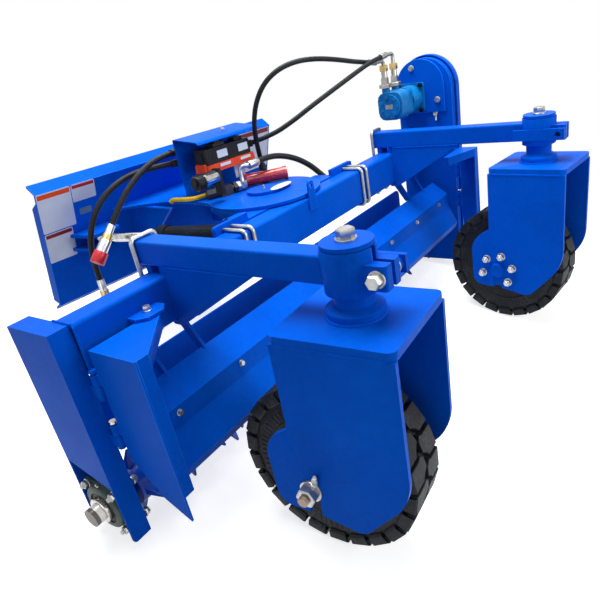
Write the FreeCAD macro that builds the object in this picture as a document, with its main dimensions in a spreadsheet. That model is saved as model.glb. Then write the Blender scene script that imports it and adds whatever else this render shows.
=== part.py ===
"""Soil conditioner: a front rotor in a cross frame, carried by two caster wheels and a swivel hitch.

Frame of the model: +X along the cross beam towards the chain case, +Y towards the hitch, +Z up,
floor at Z = 0.  Everything on the cross frame is drawn about the middle of the beam, with Y = 0 on
the beam's front face; the hitch is drawn about its swivel pin, and each caster about its spindle.
The placements then lean the machine back, as it stands when parked on its wheels and on the rear
corners of its ends, and put the middle of its box over the origin.
"""
import FreeCAD, Part
import math
import os
import re

import Sketcher

VECTOR = FreeCAD.Vector
doc = FreeCAD.newDocument("soil_conditioner")

# ---------------------------------------------------------------- driving dimensions (mm, degrees)
SIZES = {
    # where the origin lies, from the middle of the beam's front face, and the lean when parked
    "centre_x": -14, "centre_y": 140.1, "lean": 7,
    # cross beam and its end housings
    "inside_width": 1884, "beam_depth": 76, "beam_height": 127, "beam_wall": 6.4, "beam_top": 624,
    "beam_corner": 10, "sheet": 6, "housing_width": 54, "housing_front": 10, "housing_depth": 160,
    "housing_bottom": 12, "cover_front_bottom": 190, "cover_rear_bottom": 240, "deflector_inset": 34,
    # rotor
    "rotor_y": 80, "rotor_z": 113, "drum_radius": 57, "drum_gap": 22, "shaft_radius": 25,
    "tooth_tip_radius": 110, "tooth_base": 34, "tooth_flat": 5, "tooth_rake": 12, "tooth_stations": 24,
    "teeth_round": 4,
    # left rotor bearing
    "bearing_square": 116, "bearing_thick": 16, "bearing_hub_radius": 45, "bearing_deep": 34,
    "shaft_overhang": 44, "shaft_clearance": 0.05,
    # chain case and motor
    "case_width": 70, "case_radius": 128, "case_y": -14, "case_rise": 201, "motor_y": 40,
    "motor_rise": 171, "motor_plate": 10, "motor_plate_y": 0, "motor_plate_rise": 216,
    "motor_plate_foot": 103, "motor_plate_radius": 112, "motor_flange": 63,
    "motor_pilot_radius": 50, "port_radius": 17, "port_rise": 72, "rim_thick": 5,
    "rim_overhang": 10, "rim_width": 28, "case_hole_gap": 2.5,
    # arms
    "arm_offset": 640, "arm_tube": 63.5, "arm_wall": 5, "arm_lift": 21, "arm_rear": 94,
    "gusset_wall": 8, "gusset_reach": 290, "u_bolt_radius": 6.5,
    # spindle and its clamp collar
    "left_spindle_reach": 530, "right_spindle_reach": 580, "collar_radius": 58, "collar_height": 92,
    "collar_rise": 8, "ear_reach": 96, "ear_height": 52, "ear_gap": 12,
    "spindle_radius": 38, "cap_thick": 10, "flange_radius": 63, "flange_thick": 18,
    # caster
    "caster_plate": 280, "caster_plate_across": 268, "caster_drop": 48, "caster_plate_wall": 20,
    "fork_wall": 12, "caster_trail": 108, "wheel_diameter": 464, "tyre_width": 146, "rim_radius": 104,
    "tread_edge_rise": 0.8,
    "axle_radius": 12.5, "axle_slot": 17, "hub_gap": 2, "left_caster_yaw": 3, "right_caster_yaw": -7,
    # swivel and hitch
    "swivel_radius": 200, "swivel_drop": 11, "swivel_setback": 5, "swivel_base_plate": 14,
    "swivel_plate": 12, "swivel_gap": 1,
    "swivel_pin_radius": 40, "hitch_yaw": -6, "hitch_tilt": 19, "hitch_width": 1143,
    "hitch_reach": 487, "hitch_rise": 152, "hitch_face": 462, "hitch_wall": 9.5,
    "gusset_drop": 210, "gusset_root": 285, "gusset_offset": 210,
    # wings
    "wing_hinge_radius": 10, "wing_hinge_gap": 1.3, "wing_wall": 6, "left_wing_front": -179,
    "right_wing_front": -248, "wing_drop": 59,
    "wing_top_reach": 190, "wing_flange": 38, "wing_gap": 1,
    # swing cylinder
    "cylinder_drop": 56, "frame_pin_x": -230, "frame_pin_y": 132, "hitch_pin_x": -400,
    "hitch_pin_y": 470, "barrel_radius": 32, "rod_radius": 16, "barrel_length": 330,
    "barrel_bore_start": 95, "rod_start": 225,
    "cylinder_pin_radius": 12, "eye_radius": 24, "eye_height": 40,
    # hydraulics on the turntable
    "sleeve_length": 46, "fitting_tube_radius": 8, "coil_radius": 24, "tube_radius": 22,
}

# ---------------------------------------------------------------- hoses: route points and radius (mm)
HOSES = {
    "motor_hose_upper": ([
        (640, 78, 980), (545, 84, 993), (440, 96, 1014), (330, 120, 1033), (245, 155, 1037),
        (184, 196, 1020), (144, 236, 982), (123, 268, 925), (120, 292, 862), (129, 307, 800),
        (143, 317, 744), (150, 320, 704)], 9),
    "motor_hose_lower": ([
        (690, 52, 990), (610, 55, 982), (515, 75, 955), (415, 112, 918), (320, 162, 876),
        (245, 216, 833), (186, 274, 800), (136, 334, 787)], 9),
    "valve_hose": ([
        (85, 283, 728), (138, 276, 731), (195, 256, 722), (246, 226, 698), (280, 190, 662),
        (295, 155, 622), (297, 124, 594)], 11),
    "supply_hose_upper": ([
        (-114, 506, 812), (-168, 512, 810), (-232, 522, 790), (-300, 532, 750), (-362, 538, 700),
        (-414, 540, 646)], 10),
    "supply_hose_lower": ([
        (-110, 519, 774), (-182, 548, 779), (-272, 580, 772), (-356, 602, 738), (-420, 616, 678),
        (-458, 622, 606), (-472, 624, 532), (-474, 620, 465)], 10),
}

# ---------------------------------------------------------------- places worked out from them
PLACES = {
    "half_width": "inside_width / 2",
    "beam_low": "beam_top - beam_height",
    "housing_rear": "housing_front + housing_depth",
    "arm_low": "beam_top + arm_lift",
    "arm_high": "arm_low + arm_tube",
    "case_z": "beam_top + case_rise",
    "motor_z": "beam_top + motor_rise",
    "port_top": "motor_z + port_rise",
    "motor_plate_z": "beam_top + motor_plate_rise",
    "motor_plate_low": "beam_top + motor_plate_foot",
    "collar_low": "beam_top + collar_rise",
    "caster_top": "beam_top - caster_drop",
    "cylinder_z": "beam_top - cylinder_drop",
    "hitch_top": "beam_top + hitch_rise",
    "swivel_y": "swivel_radius + swivel_setback",
    "swivel_low": "beam_top - swivel_drop",
    "disc_low": "swivel_low + swivel_base_plate + swivel_gap",
    "swivel_top": "disc_low + swivel_plate",
    "slope": "tan(hitch_tilt)",
    "wing_top": "beam_top - wing_drop",
    "left_hinge_y": "-wing_hinge_radius - wing_hinge_gap",
    "right_hinge_y": "case_y - case_radius - wing_hinge_radius - wing_hinge_gap",
    "lift": "housing_rear * sin(lean) - housing_bottom * cos(lean)",
    "wheel_centre": "wheel_diameter / 2 + tread_edge_rise",
    "axle_z": "(wheel_centre - lift - (left_spindle_reach - caster_trail) * sin(lean)) / cos(lean)",
    "left_sink": "0",
    "right_sink": "(right_spindle_reach - left_spindle_reach) * tan(lean)",
    "case_outer": "half_width + case_width",
    "case_low": "(case_y + case_radius + rim_overhang) * tan(lean) - lift / cos(lean) + rim_overhang",
}

sheet = doc.addObject("Spreadsheet::Sheet", "Sizes")


def named(text):
    """An expression whose aliases point into the sheet."""
    known = {**SIZES, **PLACES}
    return re.sub(r"[A-Za-z_]\w*", lambda word: "Sizes." + word.group() if word.group() in known
                  else word.group(), str(text))


for row, (alias, value) in enumerate({**SIZES, **PLACES}.items(), start=2):
    sheet.set("A%d" % row, alias.replace("_", " "))
    sheet.set("B%d" % row, str(value) if alias in SIZES else "=" + value)
    sheet.setAlias("B%d" % row, alias)
doc.recompute()


def number(text):
    """The value of an expression on the sheet."""
    return float(sheet.evalExpression(named(text)))


def bind(thing, prop, text):
    thing.setExpression(prop, named(text))


# ---------------------------------------------------------------- drawing helpers
PLANES = {"XY": ("XY_Plane", 1), "XZ": ("XZ_Plane", -1), "YZ": ("YZ_Plane", 1)}
NODES = []


def node(thing, label, x="0", y="0", z="0", turn="rotation(vector(0; 0; 1); 0)"):
    """Name a finished sub-part and put it in its place on the machine, which leans back."""
    thing.Label = label
    stance = "placement(vector(-centre_x; -centre_y; lift); rotation(vector(1; 0; 0); -lean))"
    place = "placement(vector(%s; %s; %s); %s)" % (x, y, z, turn)
    bind(thing, "Placement", stance + " * " + place)
    NODES.append(thing)
    return thing


def about_upright(yaw):
    return "rotation(vector(0; 0; 1); %s)" % yaw


def on_hitch():
    return dict(y="swivel_y", turn=about_upright("hitch_yaw"))


def hand(side):
    return "left" if side < 0 else "right"


def on_caster(side):
    """The longer arm's caster sits lower on its spindle, so that both wheels stand on the floor."""
    name = hand(side)
    return dict(x="%d * arm_offset" % side, y="-%s_spindle_reach" % name, z="-%s_sink" % name,
                turn=about_upright(name + "_caster_yaw"))


def on_axle(side):
    """Where a wheel that was drawn about +Z goes, so that its axle lies across the caster."""
    name = hand(side)
    yaw = name + "_caster_yaw"
    return dict(x="%d * arm_offset - caster_trail * sin(%s)" % (side, yaw),
                y="caster_trail * cos(%s) - %s_spindle_reach" % (yaw, name),
                z="axle_z - %s_sink" % name,
                turn="%s * rotation(vector(0; 1; 0); 90)" % about_upright(yaw))


def body(label):
    made = doc.addObject("PartDesign::Body", label + "_body")
    made.AllowCompound = True
    return made


def sketch(owner, plane, outlines, at="0"):
    """A sketch on a plane of the body: lists of (x, y) corners, and (x, y, radius) circles."""
    role, normal = PLANES[plane]
    made = owner.newObject("Sketcher::SketchObject", "Sketch")
    support = next(item for item in owner.Origin.OriginFeatures if item.Role == role)
    made.AttachmentSupport = (support, [""])
    made.MapMode = "FlatFace"
    bind(made, "AttachmentOffset.Base.z", "%d * (%s)" % (normal, at))
    for outline in outlines:
        if isinstance(outline, tuple):
            add_circle(made, *outline)
        else:
            add_polygon(made, outline)
    return made


def pin_point(made, geometry, point, x, y):
    """Hold a point of the sketch at its distances from the origin."""
    for kind, text in (("DistanceX", x), ("DistanceY", y)):
        index = made.addConstraint(Sketcher.Constraint(kind, -1, 1, geometry, point, number(text)))
        made.setExpression("Constraints[%d]" % index, named(text))


def add_polygon(made, points):
    corners = [VECTOR(number(p[0]), number(p[1]), 0) for p in points]
    first = made.GeometryCount
    count = len(corners)
    for i in range(count):
        made.addGeometry(Part.LineSegment(corners[i], corners[(i + 1) % count]), False)
    for i in range(count):
        made.addConstraint(Sketcher.Constraint("Coincident", first + i, 2,
                                               first + (i + 1) % count, 1))
        pin_point(made, first + i, 1, points[i][0], points[i][1])


def add_circle(made, x, y, radius):
    centre = VECTOR(number(x), number(y), 0)
    index = made.addGeometry(Part.Circle(centre, VECTOR(0, 0, 1), number(radius)), False)
    pin_point(made, index, 3, x, y)
    size = made.addConstraint(Sketcher.Constraint("Radius", index, number(radius)))
    made.setExpression("Constraints[%d]" % size, named(radius))


def slab(owner, plane, outlines, low, high, cut=False):
    """Pad, or cut, outlines between two levels along the axis normal to their plane.
    A corner given as (x, y, radius) is rounded with that radius."""
    start = high if plane == "XZ" else low
    drawn = sketch(owner, plane, outlines, start)
    kind = "PartDesign::Pocket" if cut else "PartDesign::Pad"
    made = owner.newObject(kind, "Pocket" if cut else "Pad")
    made.Profile = drawn
    bind(made, "Length", "(%s) - (%s)" % (high, low))
    if cut:
        made.Reversed = True
    doc.recompute()
    rounds = {}
    for point in [p for outline in outlines if isinstance(outline, list) for p in outline]:
        if len(point) == 3:
            rounds.setdefault(str(point[2]), []).append((number(point[0]), number(point[1])))
    for radius, corners in rounds.items():
        round_corners(owner, made, plane, radius, corners, number(low), number(high))
        made = owner.Tip
    return made


def round_corners(owner, made, plane, radius, corners, low, high):
    """Fillet the edges that stand on the given corners of an outline."""
    axes = {"XY": (0, 1, 2), "XZ": (0, 2, 1), "YZ": (1, 2, 0)}[plane]
    names = []
    for count, edge in enumerate(made.Shape.Edges, start=1):
        ends = [vertex.Point for vertex in edge.Vertexes]
        if len(ends) != 2:
            continue
        flat = [(end[axes[0]], end[axes[1]]) for end in ends]
        levels = sorted(end[axes[2]] for end in ends)
        upright = math.dist(*flat) < 0.001
        if upright and levels[0] > low - 0.01 and levels[1] < high + 0.01:
            if any(math.dist(flat[0], corner) < 0.01 for corner in corners):
                names.append("Edge%d" % count)
    if names:
        fillet = owner.newObject("PartDesign::Fillet", "Round")
        fillet.Base = (made, names)
        bind(fillet, "Radius", radius)
        doc.recompute()


def spin(owner, plane, outline):
    """Revolve an outline about the sketch's vertical axis."""
    drawn = sketch(owner, plane, [outline])
    made = owner.newObject("PartDesign::Revolution", "Turned")
    made.Profile = drawn
    made.ReferenceAxis = (drawn, ["V_Axis"])
    made.Angle = 360
    doc.recompute()
    return made


def box(x0, x1, y0, y1):
    """The four corners of a rectangle."""
    return [(x0, y0), (x1, y0), (x1, y1), (x0, y1)]


def rod(points, radius, bend=None, flats=0):
    """A round bar or hose: straight runs joined by tangent arcs, as a solid.
    With no bend radius given, each arc is as large as its two runs allow."""
    edges = []
    start = points[0]
    radii = []
    for before, corner, after in zip(points, points[1:], points[2:]):
        back = (before - corner)
        ahead = (after - corner)
        turn = math.pi - back.getAngle(ahead)
        if bend:
            arc_radius = bend
        else:
            arc_radius = 0.45 * min(back.Length, ahead.Length) / math.tan(turn / 2)
        radii.append(arc_radius)
        reach = arc_radius * math.tan(turn / 2)
        arc_start = corner + back.normalize() * reach
        arc_end = corner + ahead.normalize() * reach
        middle_way = (back + ahead).normalize()
        middle = corner + middle_way * (arc_radius / math.cos(turn / 2) - arc_radius)
        edges.append(Part.LineSegment(start, arc_start).toShape())
        edges.append(Part.Arc(arc_start, middle, arc_end).toShape())
        start = arc_end
    edges.append(Part.LineSegment(start, points[-1]).toShape())
    path = Part.Wire(edges)
    way = (points[1] - points[0]).normalize()
    circle = Part.Circle(points[0], way, radius)
    profile = Part.Wire([circle.toShape()])
    if flats:
        corners = [circle.value(2 * math.pi * count / flats) for count in range(flats + 1)]
        profile = Part.makePolygon(corners)
    print("  rod of %.0f mm, tightest bend %.0f mm" % (path.Length, min(radii)))
    return path.makePipeShell([profile], True, False)


def feature(label, shape, **place):
    made = doc.addObject("Part::Feature", label + "_shape")
    made.Shape = shape
    return node(made, label, **place)


def cylinder(base, direction, radius, length):
    return Part.makeCylinder(radius, length, base, direction)


X, Y, Z = VECTOR(1, 0, 0), VECTOR(0, 1, 0), VECTOR(0, 0, 1)


# ---------------------------------------------------------------- cross beam
def main_beam():
    beam = body("main_beam")
    corner = "beam_corner"
    slab(beam, "YZ", [[("0", "beam_low", corner), ("beam_depth", "beam_low", corner),
                       ("beam_depth", "beam_top", corner), ("0", "beam_top", corner)]],
         "-half_width", "half_width")
    slab(beam, "YZ", [[("beam_wall", "beam_low + beam_wall"),
                       ("beam_depth - beam_wall", "beam_low + beam_wall"),
                       ("beam_depth - beam_wall", "beam_top - beam_wall"),
                       ("beam_wall", "beam_top - beam_wall")]], "-half_width", "half_width", cut=True)
    # lifting eye welded to the front face, near the middle
    slab(beam, "XZ", [[("-30", "beam_top - 40"), ("14", "beam_top - 40"), ("6", "beam_top + 56", 12),
                       ("-22", "beam_top + 56", 12)]], "-8", "0")
    slab(beam, "XZ", [("-8", "beam_top + 38", "8")], "-8", "0", cut=True)
    node(beam, "main_beam")


def end_housing():
    """Left end: a welded box over the bearing, open to the outside below its cover."""
    housing = body("end_housing_left")
    inner, outer = "-half_width", "-half_width - housing_width"
    slab(housing, "YZ", [[("housing_front", "housing_bottom", 14), ("housing_rear", "housing_bottom"),
                          ("housing_rear", "beam_top"), ("housing_front", "beam_top")]],
         inner + " - sheet", inner)
    slab(housing, "XZ", [[(outer, "housing_bottom", 12), (inner, "housing_bottom"),
                          (inner, "beam_top"), (outer, "beam_top")]],
         "housing_front", "housing_front + sheet")
    slab(housing, "XZ", [box(outer, inner, "cover_rear_bottom", "beam_top")],
         "housing_rear - sheet", "housing_rear")
    slab(housing, "XY", [box(outer, inner, "housing_front", "housing_rear")],
         "beam_top - sheet", "beam_top")
    slab(housing, "YZ", [[("housing_front", "cover_front_bottom"), ("housing_rear", "cover_rear_bottom"),
                          ("housing_rear", "beam_top"), ("housing_front", "beam_top")]],
         outer, outer + " + sheet")
    slab(housing, "YZ", [("rotor_y", "rotor_z", "shaft_radius + 6")], outer, inner, cut=True)
    node(housing, "end_housing_left")


def hinge_knuckles(side):
    """The two fixed knuckles of each wing, welded to the front of the end housing."""
    name = hand(side)
    knuckles = body("wing_hinge_" + name)
    centre = ("%d * half_width" % side, name + "_hinge_y")
    carrier = "housing_front" if side < 0 else "case_y - case_radius"
    for low in ("300", "440"):
        slab(knuckles, "XY", [centre + ("wing_hinge_radius",)], low, low + " + 30")
        slab(knuckles, "XY", [centre + ("wing_hinge_radius * 0.6",)], low + " + 30", low + " + 66")
        slab(knuckles, "XY", [box("%d * (half_width + 4) - 4" % side, "%d * (half_width + 4) + 4" % side,
                                  centre[1], carrier)], low, low + " + 30")
    node(knuckles, "wing_hinge_" + name)


# ---------------------------------------------------------------- chain case
def case_outline(grow):
    """Side outline of the chain case: a round head over a straight-sided column."""
    radius = number("case_radius") + grow
    centre = VECTOR(0, number("case_y"), number("case_z"))
    low = number("case_low") - grow
    left, right = centre.y - radius, centre.y + radius
    head = Part.Arc(VECTOR(0, left, centre.z), centre + VECTOR(0, 0, radius), VECTOR(0, right, centre.z))
    corners = [VECTOR(0, right, centre.z), VECTOR(0, right, low), VECTOR(0, left, low),
               VECTOR(0, left, centre.z)]
    lines = [Part.LineSegment(a, b).toShape() for a, b in zip(corners, corners[1:])]
    return Part.Wire([head.toShape()] + lines)


def case_slab(grow, low, high):
    face = Part.Face(case_outline(grow))
    face.translate(VECTOR(low, 0, 0))
    return face.extrude(VECTOR(high - low, 0, 0))


def chain_case():
    inner, outer = number("half_width"), number("case_outer")
    wall = number("sheet")
    shell = case_slab(0, inner, outer - wall)
    hollow = case_slab(-wall, inner + wall, outer - wall)
    gap = number("case_hole_gap")
    shaft_hole = cylinder(VECTOR(inner, number("rotor_y"), number("rotor_z")), X,
                          number("shaft_radius") + gap, wall)
    motor_hole = cylinder(VECTOR(inner, number("motor_y"), number("motor_z")), X,
                          number("motor_pilot_radius") + gap, wall)
    feature("chain_case", shell.cut(hollow).cut(shaft_hole).cut(motor_hole))
    rim = number("rim_overhang")
    cover = case_slab(rim, outer - wall, outer)
    band_start = outer - wall - number("rim_width")
    band = case_slab(rim, band_start, outer).cut(case_slab(rim - number("rim_thick"), band_start, outer))
    feature("chain_cover", cover.fuse(band).removeSplitter())


def motor_mount():
    """Plate between motor and case: a round head over straight sides and a level foot."""
    plate = body("motor_plate")
    low, high = "half_width - motor_plate", "half_width"
    slab(plate, "YZ", [("motor_plate_y", "motor_plate_z", "motor_plate_radius")], low, high)
    slab(plate, "YZ", [box("motor_plate_y - motor_plate_radius", "motor_plate_y + motor_plate_radius",
                           "motor_plate_low", "motor_plate_z")], low, high)
    slab(plate, "YZ", [("motor_y", "motor_z", "motor_pilot_radius + 1")], low, high, cut=True)
    node(plate, "motor_plate")


def square(y, z, half, corner):
    """A square outline with rounded corners about a point."""
    return [("%s %s %s" % (y, a, half), "%s %s %s" % (z, b, half), corner)
            for a, b in (("-", "-"), ("+", "-"), ("+", "+"), ("-", "+"))]


# ports of the motor: distance from the mounting face, and aside from the motor's middle
MOTOR_PORTS = ((132, 12), (187, 30))


def hydraulic_motor():
    """Orbital motor: flange, gear section, port block with its two ports on top, end cap."""
    motor = body("hydraulic_motor")
    face = "half_width - motor_plate"
    middle = ("motor_y", "motor_z")
    slab(motor, "YZ", [square(*middle, "motor_flange", 12)], face + " - 16", face)
    slab(motor, "YZ", [middle + ("motor_pilot_radius",)], face + " - 16", "half_width + 20")
    slab(motor, "YZ", [middle + ("56",)], face + " - 100", face + " - 16")
    slab(motor, "YZ", [square(*middle, "51", 14)], face + " - 208", face + " - 100")
    slab(motor, "YZ", [middle + ("48",)], face + " - 232", face + " - 208")
    for port, aside in MOTOR_PORTS:
        slab(motor, "XY", [("%s - %s" % (face, port), "motor_y + %s" % aside, "port_radius")],
             "motor_z + 40", "port_top")
    node(motor, "hydraulic_motor")


def hexagon(base, way, across, length):
    """A hexagonal nut or fitting body."""
    corners = [VECTOR(across / math.sqrt(3) * math.cos(math.radians(60 * count)),
                      across / math.sqrt(3) * math.sin(math.radians(60 * count)), 0) for count in range(7)]
    nut = Part.Face(Part.makePolygon(corners)).extrude(VECTOR(0, 0, length))
    nut.Placement = FreeCAD.Placement(base, FreeCAD.Rotation(Z, way))
    return nut


def hose_elbow(foot, hose):
    """Steel elbow from a nut at its foot to the crimped sleeve at the start of a hose."""
    points, hose_radius = HOSES[hose]
    tail = VECTOR(*points[0])
    way = (VECTOR(*points[1]) - tail).normalize()
    sleeve = tail - way * number("sleeve_length")
    corner = VECTOR(foot.x, foot.y, sleeve.z)
    tube = number("fitting_tube_radius")
    parts = [hexagon(foot, Z, 2 * tube + 12, 24),
             rod([foot + Z * 20, corner, sleeve + way * 2], tube, 1.9 * tube),
             cylinder(sleeve, way, hose_radius + 3, number("sleeve_length"))]
    return parts[0].fuse(parts[1:])


def motor_fittings():
    """An elbow on each motor port, with the sleeves of the two motor hoses."""
    face = number("half_width") - number("motor_plate")
    fittings = []
    for (port, aside), hose in zip(MOTOR_PORTS, ("motor_hose_lower", "motor_hose_upper")):
        foot = VECTOR(face - port, number("motor_y") + aside, number("port_top"))
        adaptor = hexagon(foot, Z, 34, 16)
        fittings.append(adaptor.fuse(hose_elbow(foot + Z * 16, hose)).removeSplitter())
    feature("motor_fittings", Part.makeCompound(fittings))


# ---------------------------------------------------------------- rotor
def tooth(along, angle):
    """A pointed tooth, raked forwards: its base sits in the drum, its tip is a small flat."""
    half = number("tooth_base") / 2
    rake, flat = number("tooth_rake"), number("tooth_flat") / 2
    wedge = Part.makeWedge(-half, number("drum_radius") - 8, -0.8 * half, rake - flat, -flat,
                           half, number("tooth_tip_radius"), 0.8 * half, rake + flat, flat)
    wedge.rotate(VECTOR(0, 0, 0), X, angle)
    wedge.translate(VECTOR(along, number("rotor_y"), number("rotor_z")))
    return wedge


def rotor():
    """Drum on its shaft, with teeth in rows that wind round it."""
    y, z = number("rotor_y"), number("rotor_z")
    inner = number("half_width")
    drum_half = inner - number("drum_gap")
    drum, shaft = number("drum_radius"), number("shaft_radius")
    start = -inner - number("housing_width") - number("shaft_overhang")
    end = inner + number("case_width") - 14
    stations, around = int(number("tooth_stations")), int(number("teeth_round"))
    spread = 2 * (drum_half - 24)
    step = spread / (stations - 1)
    rings = [VECTOR((count - stations / 2) * step, y, z + drum) for count in range(1, stations)]
    outline = [VECTOR(start, y, z), VECTOR(start, y, z + shaft), VECTOR(-drum_half, y, z + shaft),
               VECTOR(-drum_half, y, z + drum)] + rings + [
               VECTOR(drum_half, y, z + drum), VECTOR(drum_half, y, z + shaft),
               VECTOR(end, y, z + shaft), VECTOR(end, y, z)]
    roll = Part.Face(Part.makePolygon(outline + [outline[0]])).revolve(VECTOR(0, y, z), X, 360)
    teeth = []
    for station in range(stations):
        for place in range(around):
            teeth.append(tooth(-spread / 2 + station * step, 360 * place / around + 33 * station))
    feature("rotor", roll.fuse(teeth))


def rotor_bearing():
    bearing = body("rotor_bearing_left")
    inner = "-half_width - sheet"
    y, z = "rotor_y", "rotor_z"
    slab(bearing, "YZ", [square(y, z, "bearing_square / 2", 20)], inner + " - bearing_thick", inner)
    slab(bearing, "YZ", [(y, z, "bearing_hub_radius")], inner + " - bearing_deep",
         inner + " - bearing_thick")
    slab(bearing, "YZ", [(y, z, "shaft_radius + shaft_clearance")], inner + " - bearing_deep", inner,
         cut=True)
    node(bearing, "rotor_bearing_left")


# ---------------------------------------------------------------- front deflector and rear shield
def deflector():
    """Folded sheet over the front of the rotor, with a gusset at each end."""
    made = body("deflector")
    face = [("-40", "beam_low - 83"), ("-108", "beam_low - 135"), ("-112", "308"), ("-150", "226"),
            ("-141", "200")]
    back = [("-137", "200"), ("-146", "225.5"), ("-108", "307.2"), ("-103.9", "beam_low - 137"),
            ("-36.6", "beam_low - 85.8")]
    end = "half_width - deflector_inset"
    slab(made, "YZ", [face + back], "-(%s)" % end, end)
    gusset = [("-38", "beam_low - 85"), ("-106", "beam_low - 136.5"), ("-110", "307.5"),
              ("-104", "300"), ("-70", "303"), ("-10", "beam_low - 117")]
    slab(made, "YZ", [gusset], end + " - sheet", end)
    slab(made, "YZ", [gusset], "-(%s)" % end, "sheet - (%s)" % end)
    node(made, "deflector")


def rear_shield():
    made = body("rear_shield")
    slab(made, "XZ", [[("-half_width", "236"), ("half_width", "236"), ("half_width", "372", 30),
                       ("-half_width", "372", 30)]], "housing_rear - 12", "housing_rear - 6")
    node(made, "rear_shield")


def struts():
    made = body("deflector_struts")
    for place in (-785, -650, 650, 785):
        slab(made, "YZ", [[("4", "beam_low"), ("40", "beam_low"), ("-20", "beam_low - 90.5"),
                           ("-36.4", "beam_low - 85.5"), ("-39.9", "beam_low - 82.8"),
                           ("-52", "beam_low - 92")]], "%d - 4" % place, "%d + 4" % place)
    node(made, "deflector_struts")


# ---------------------------------------------------------------- arms
def arm(side):
    """Square tube over the beam, with a split collar at its outer end and gussets under its root."""
    name = hand(side)
    reach = name + "_spindle_reach"
    made = body("arm_" + name)
    low_x = "%d * arm_offset - arm_tube / 2" % side
    high_x = "%d * arm_offset + arm_tube / 2" % side
    slab(made, "XZ", [[(low_x, "arm_low", 6), (high_x, "arm_low", 6), (high_x, "arm_high", 6),
                       (low_x, "arm_high", 6)]], "-" + reach, "arm_rear")
    slab(made, "XZ", [box(low_x + " + arm_wall", high_x + " - arm_wall", "arm_low + arm_wall",
                          "arm_high - arm_wall")], "-%s + collar_radius" % reach, "arm_rear", cut=True)
    # split collar, with two ears to the front for its clamp bolt
    centre = "%d * arm_offset" % side
    collar_high = "collar_low + collar_height"
    slab(made, "XY", [(centre, "-" + reach, "collar_radius")], "collar_low", collar_high)
    slab(made, "XY", [[(low_x, "-%s - ear_reach" % reach, 8), (high_x, "-%s - ear_reach" % reach, 8),
                       (high_x, "-" + reach), (low_x, "-" + reach)]], "arm_low", "arm_low + ear_height")
    slab(made, "XY", [(centre, "-" + reach, "spindle_radius + 0.06")], "collar_low", collar_high, cut=True)
    slab(made, "XY", [box(centre + " - ear_gap / 2", centre + " + ear_gap / 2", "-%s - ear_reach" % reach,
                          "-%s - spindle_radius / 2" % reach)], "collar_low", collar_high, cut=True)
    slab(made, "YZ", [("-%s - ear_reach + 20" % reach, "arm_low + ear_height / 2", "8.5")],
         low_x, high_x, cut=True)
    # two gusset plates against the front of the beam, hooked under it
    for face in (low_x, high_x + " - gusset_wall"):
        slab(made, "YZ", [[("0", "arm_low + 1"), ("-gusset_reach", "arm_low + 1"),
                           ("-14", "beam_low - 14", 10), ("24", "beam_low - 14", 10),
                           ("24", "beam_low"), ("0", "beam_low")]], face, face + " + gusset_wall")
    slab(made, "XY", [box(low_x + " + 4", high_x + " - 4", "6", "22"),
                      box(low_x + " + 4", high_x + " - 4", "52", "70")], "beam_top", "arm_low + 1")
    node(made, "arm_" + name)


def u_bolt(corners, radius, bend):
    """A bolt bent round a tube, drawn with eight flats."""
    return rod([VECTOR(*corner) for corner in corners], radius, bend, flats=8)


def arm_u_bolts():
    thread = number("u_bolt_radius")
    high = number("arm_high") + thread + 0.3
    low = number("beam_low") - 34
    plane = number("beam_depth") + thread + 1
    bolts = []
    for side in (-1, 1):
        left = side * number("arm_offset") - number("arm_tube") / 2 - thread - 0.3
        right = left + number("arm_tube") + 2 * thread + 0.6
        bolts.append(u_bolt([(left, plane, low), (left, plane, high), (right, plane, high),
                             (right, plane, low)], thread, 12))
        plate = Part.makeBox(number("arm_tube") + 50, 40, 10,
                             VECTOR(left - 18, plane - 22, number("beam_low") - 24))
        clamp = plate
        for place in (left, right):
            clamp = clamp.cut(cylinder(VECTOR(place, plane, low), Z, thread + 0.3, 60))
            bolts.append(cylinder(VECTOR(place, plane, number("beam_low") - 34.5), Z, 11, 10)
                         .cut(cylinder(VECTOR(place, plane, low - 5), Z, thread + 0.3, 60)))
        bolts.append(clamp)
    feature("arm_u_bolts", Part.makeCompound(bolts))


# ---------------------------------------------------------------- swivel
def swivel_base():
    """Lower turntable plate on ribs, with an upright plate that the U-bolts draw against the beam."""
    made = body("swivel_base")
    behind = "beam_depth"
    slab(made, "XY", [("0", "swivel_y", "swivel_radius")], "swivel_low", "swivel_low + swivel_base_plate")
    slab(made, "XY", [box("-swivel_radius - 1", "swivel_radius + 1", "swivel_y - swivel_radius - 1",
                          behind)], "swivel_low", "swivel_low + swivel_base_plate", cut=True)
    slab(made, "XY", [box("-swivel_radius - 60", "swivel_radius + 60", behind, "frame_pin_y + 30")],
         "swivel_low", "swivel_low + swivel_base_plate")
    slab(made, "XZ", [[("-400", "beam_low - 26", 10), ("400", "beam_low - 26", 10),
                       ("400", "beam_top + 24", 10), ("250", "beam_top + 24"),
                       ("250", "swivel_low + 10"), ("-250", "swivel_low + 10"),
                       ("-250", "beam_top + 24"), ("-400", "beam_top + 24", 10)]],
         behind, behind + " + 14")
    for place in (-110, 110):
        slab(made, "YZ", [[(behind + " + 10", "swivel_low + 1"), (behind + " + 10", "beam_low"),
                           (behind + " + 60", "beam_low"), ("swivel_y + 150", "swivel_low - 20"),
                           ("swivel_y + 150", "swivel_low + 1")]], "%d - 6" % place, "%d + 6" % place)
    slab(made, "XY", [("0", "swivel_y", "swivel_pin_radius + 30")], "swivel_low - 60", "swivel_low + 1")
    holes = [(str(place), level, "u_bolt_radius + 0.5") for place in (-365, -330, 330, 365)
             for level in ("beam_top + u_bolt_radius + 0.3", "beam_low - u_bolt_radius - 0.3")]
    slab(made, "XZ", holes, behind, behind + " + 14", cut=True)
    node(made, "swivel_base")


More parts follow.
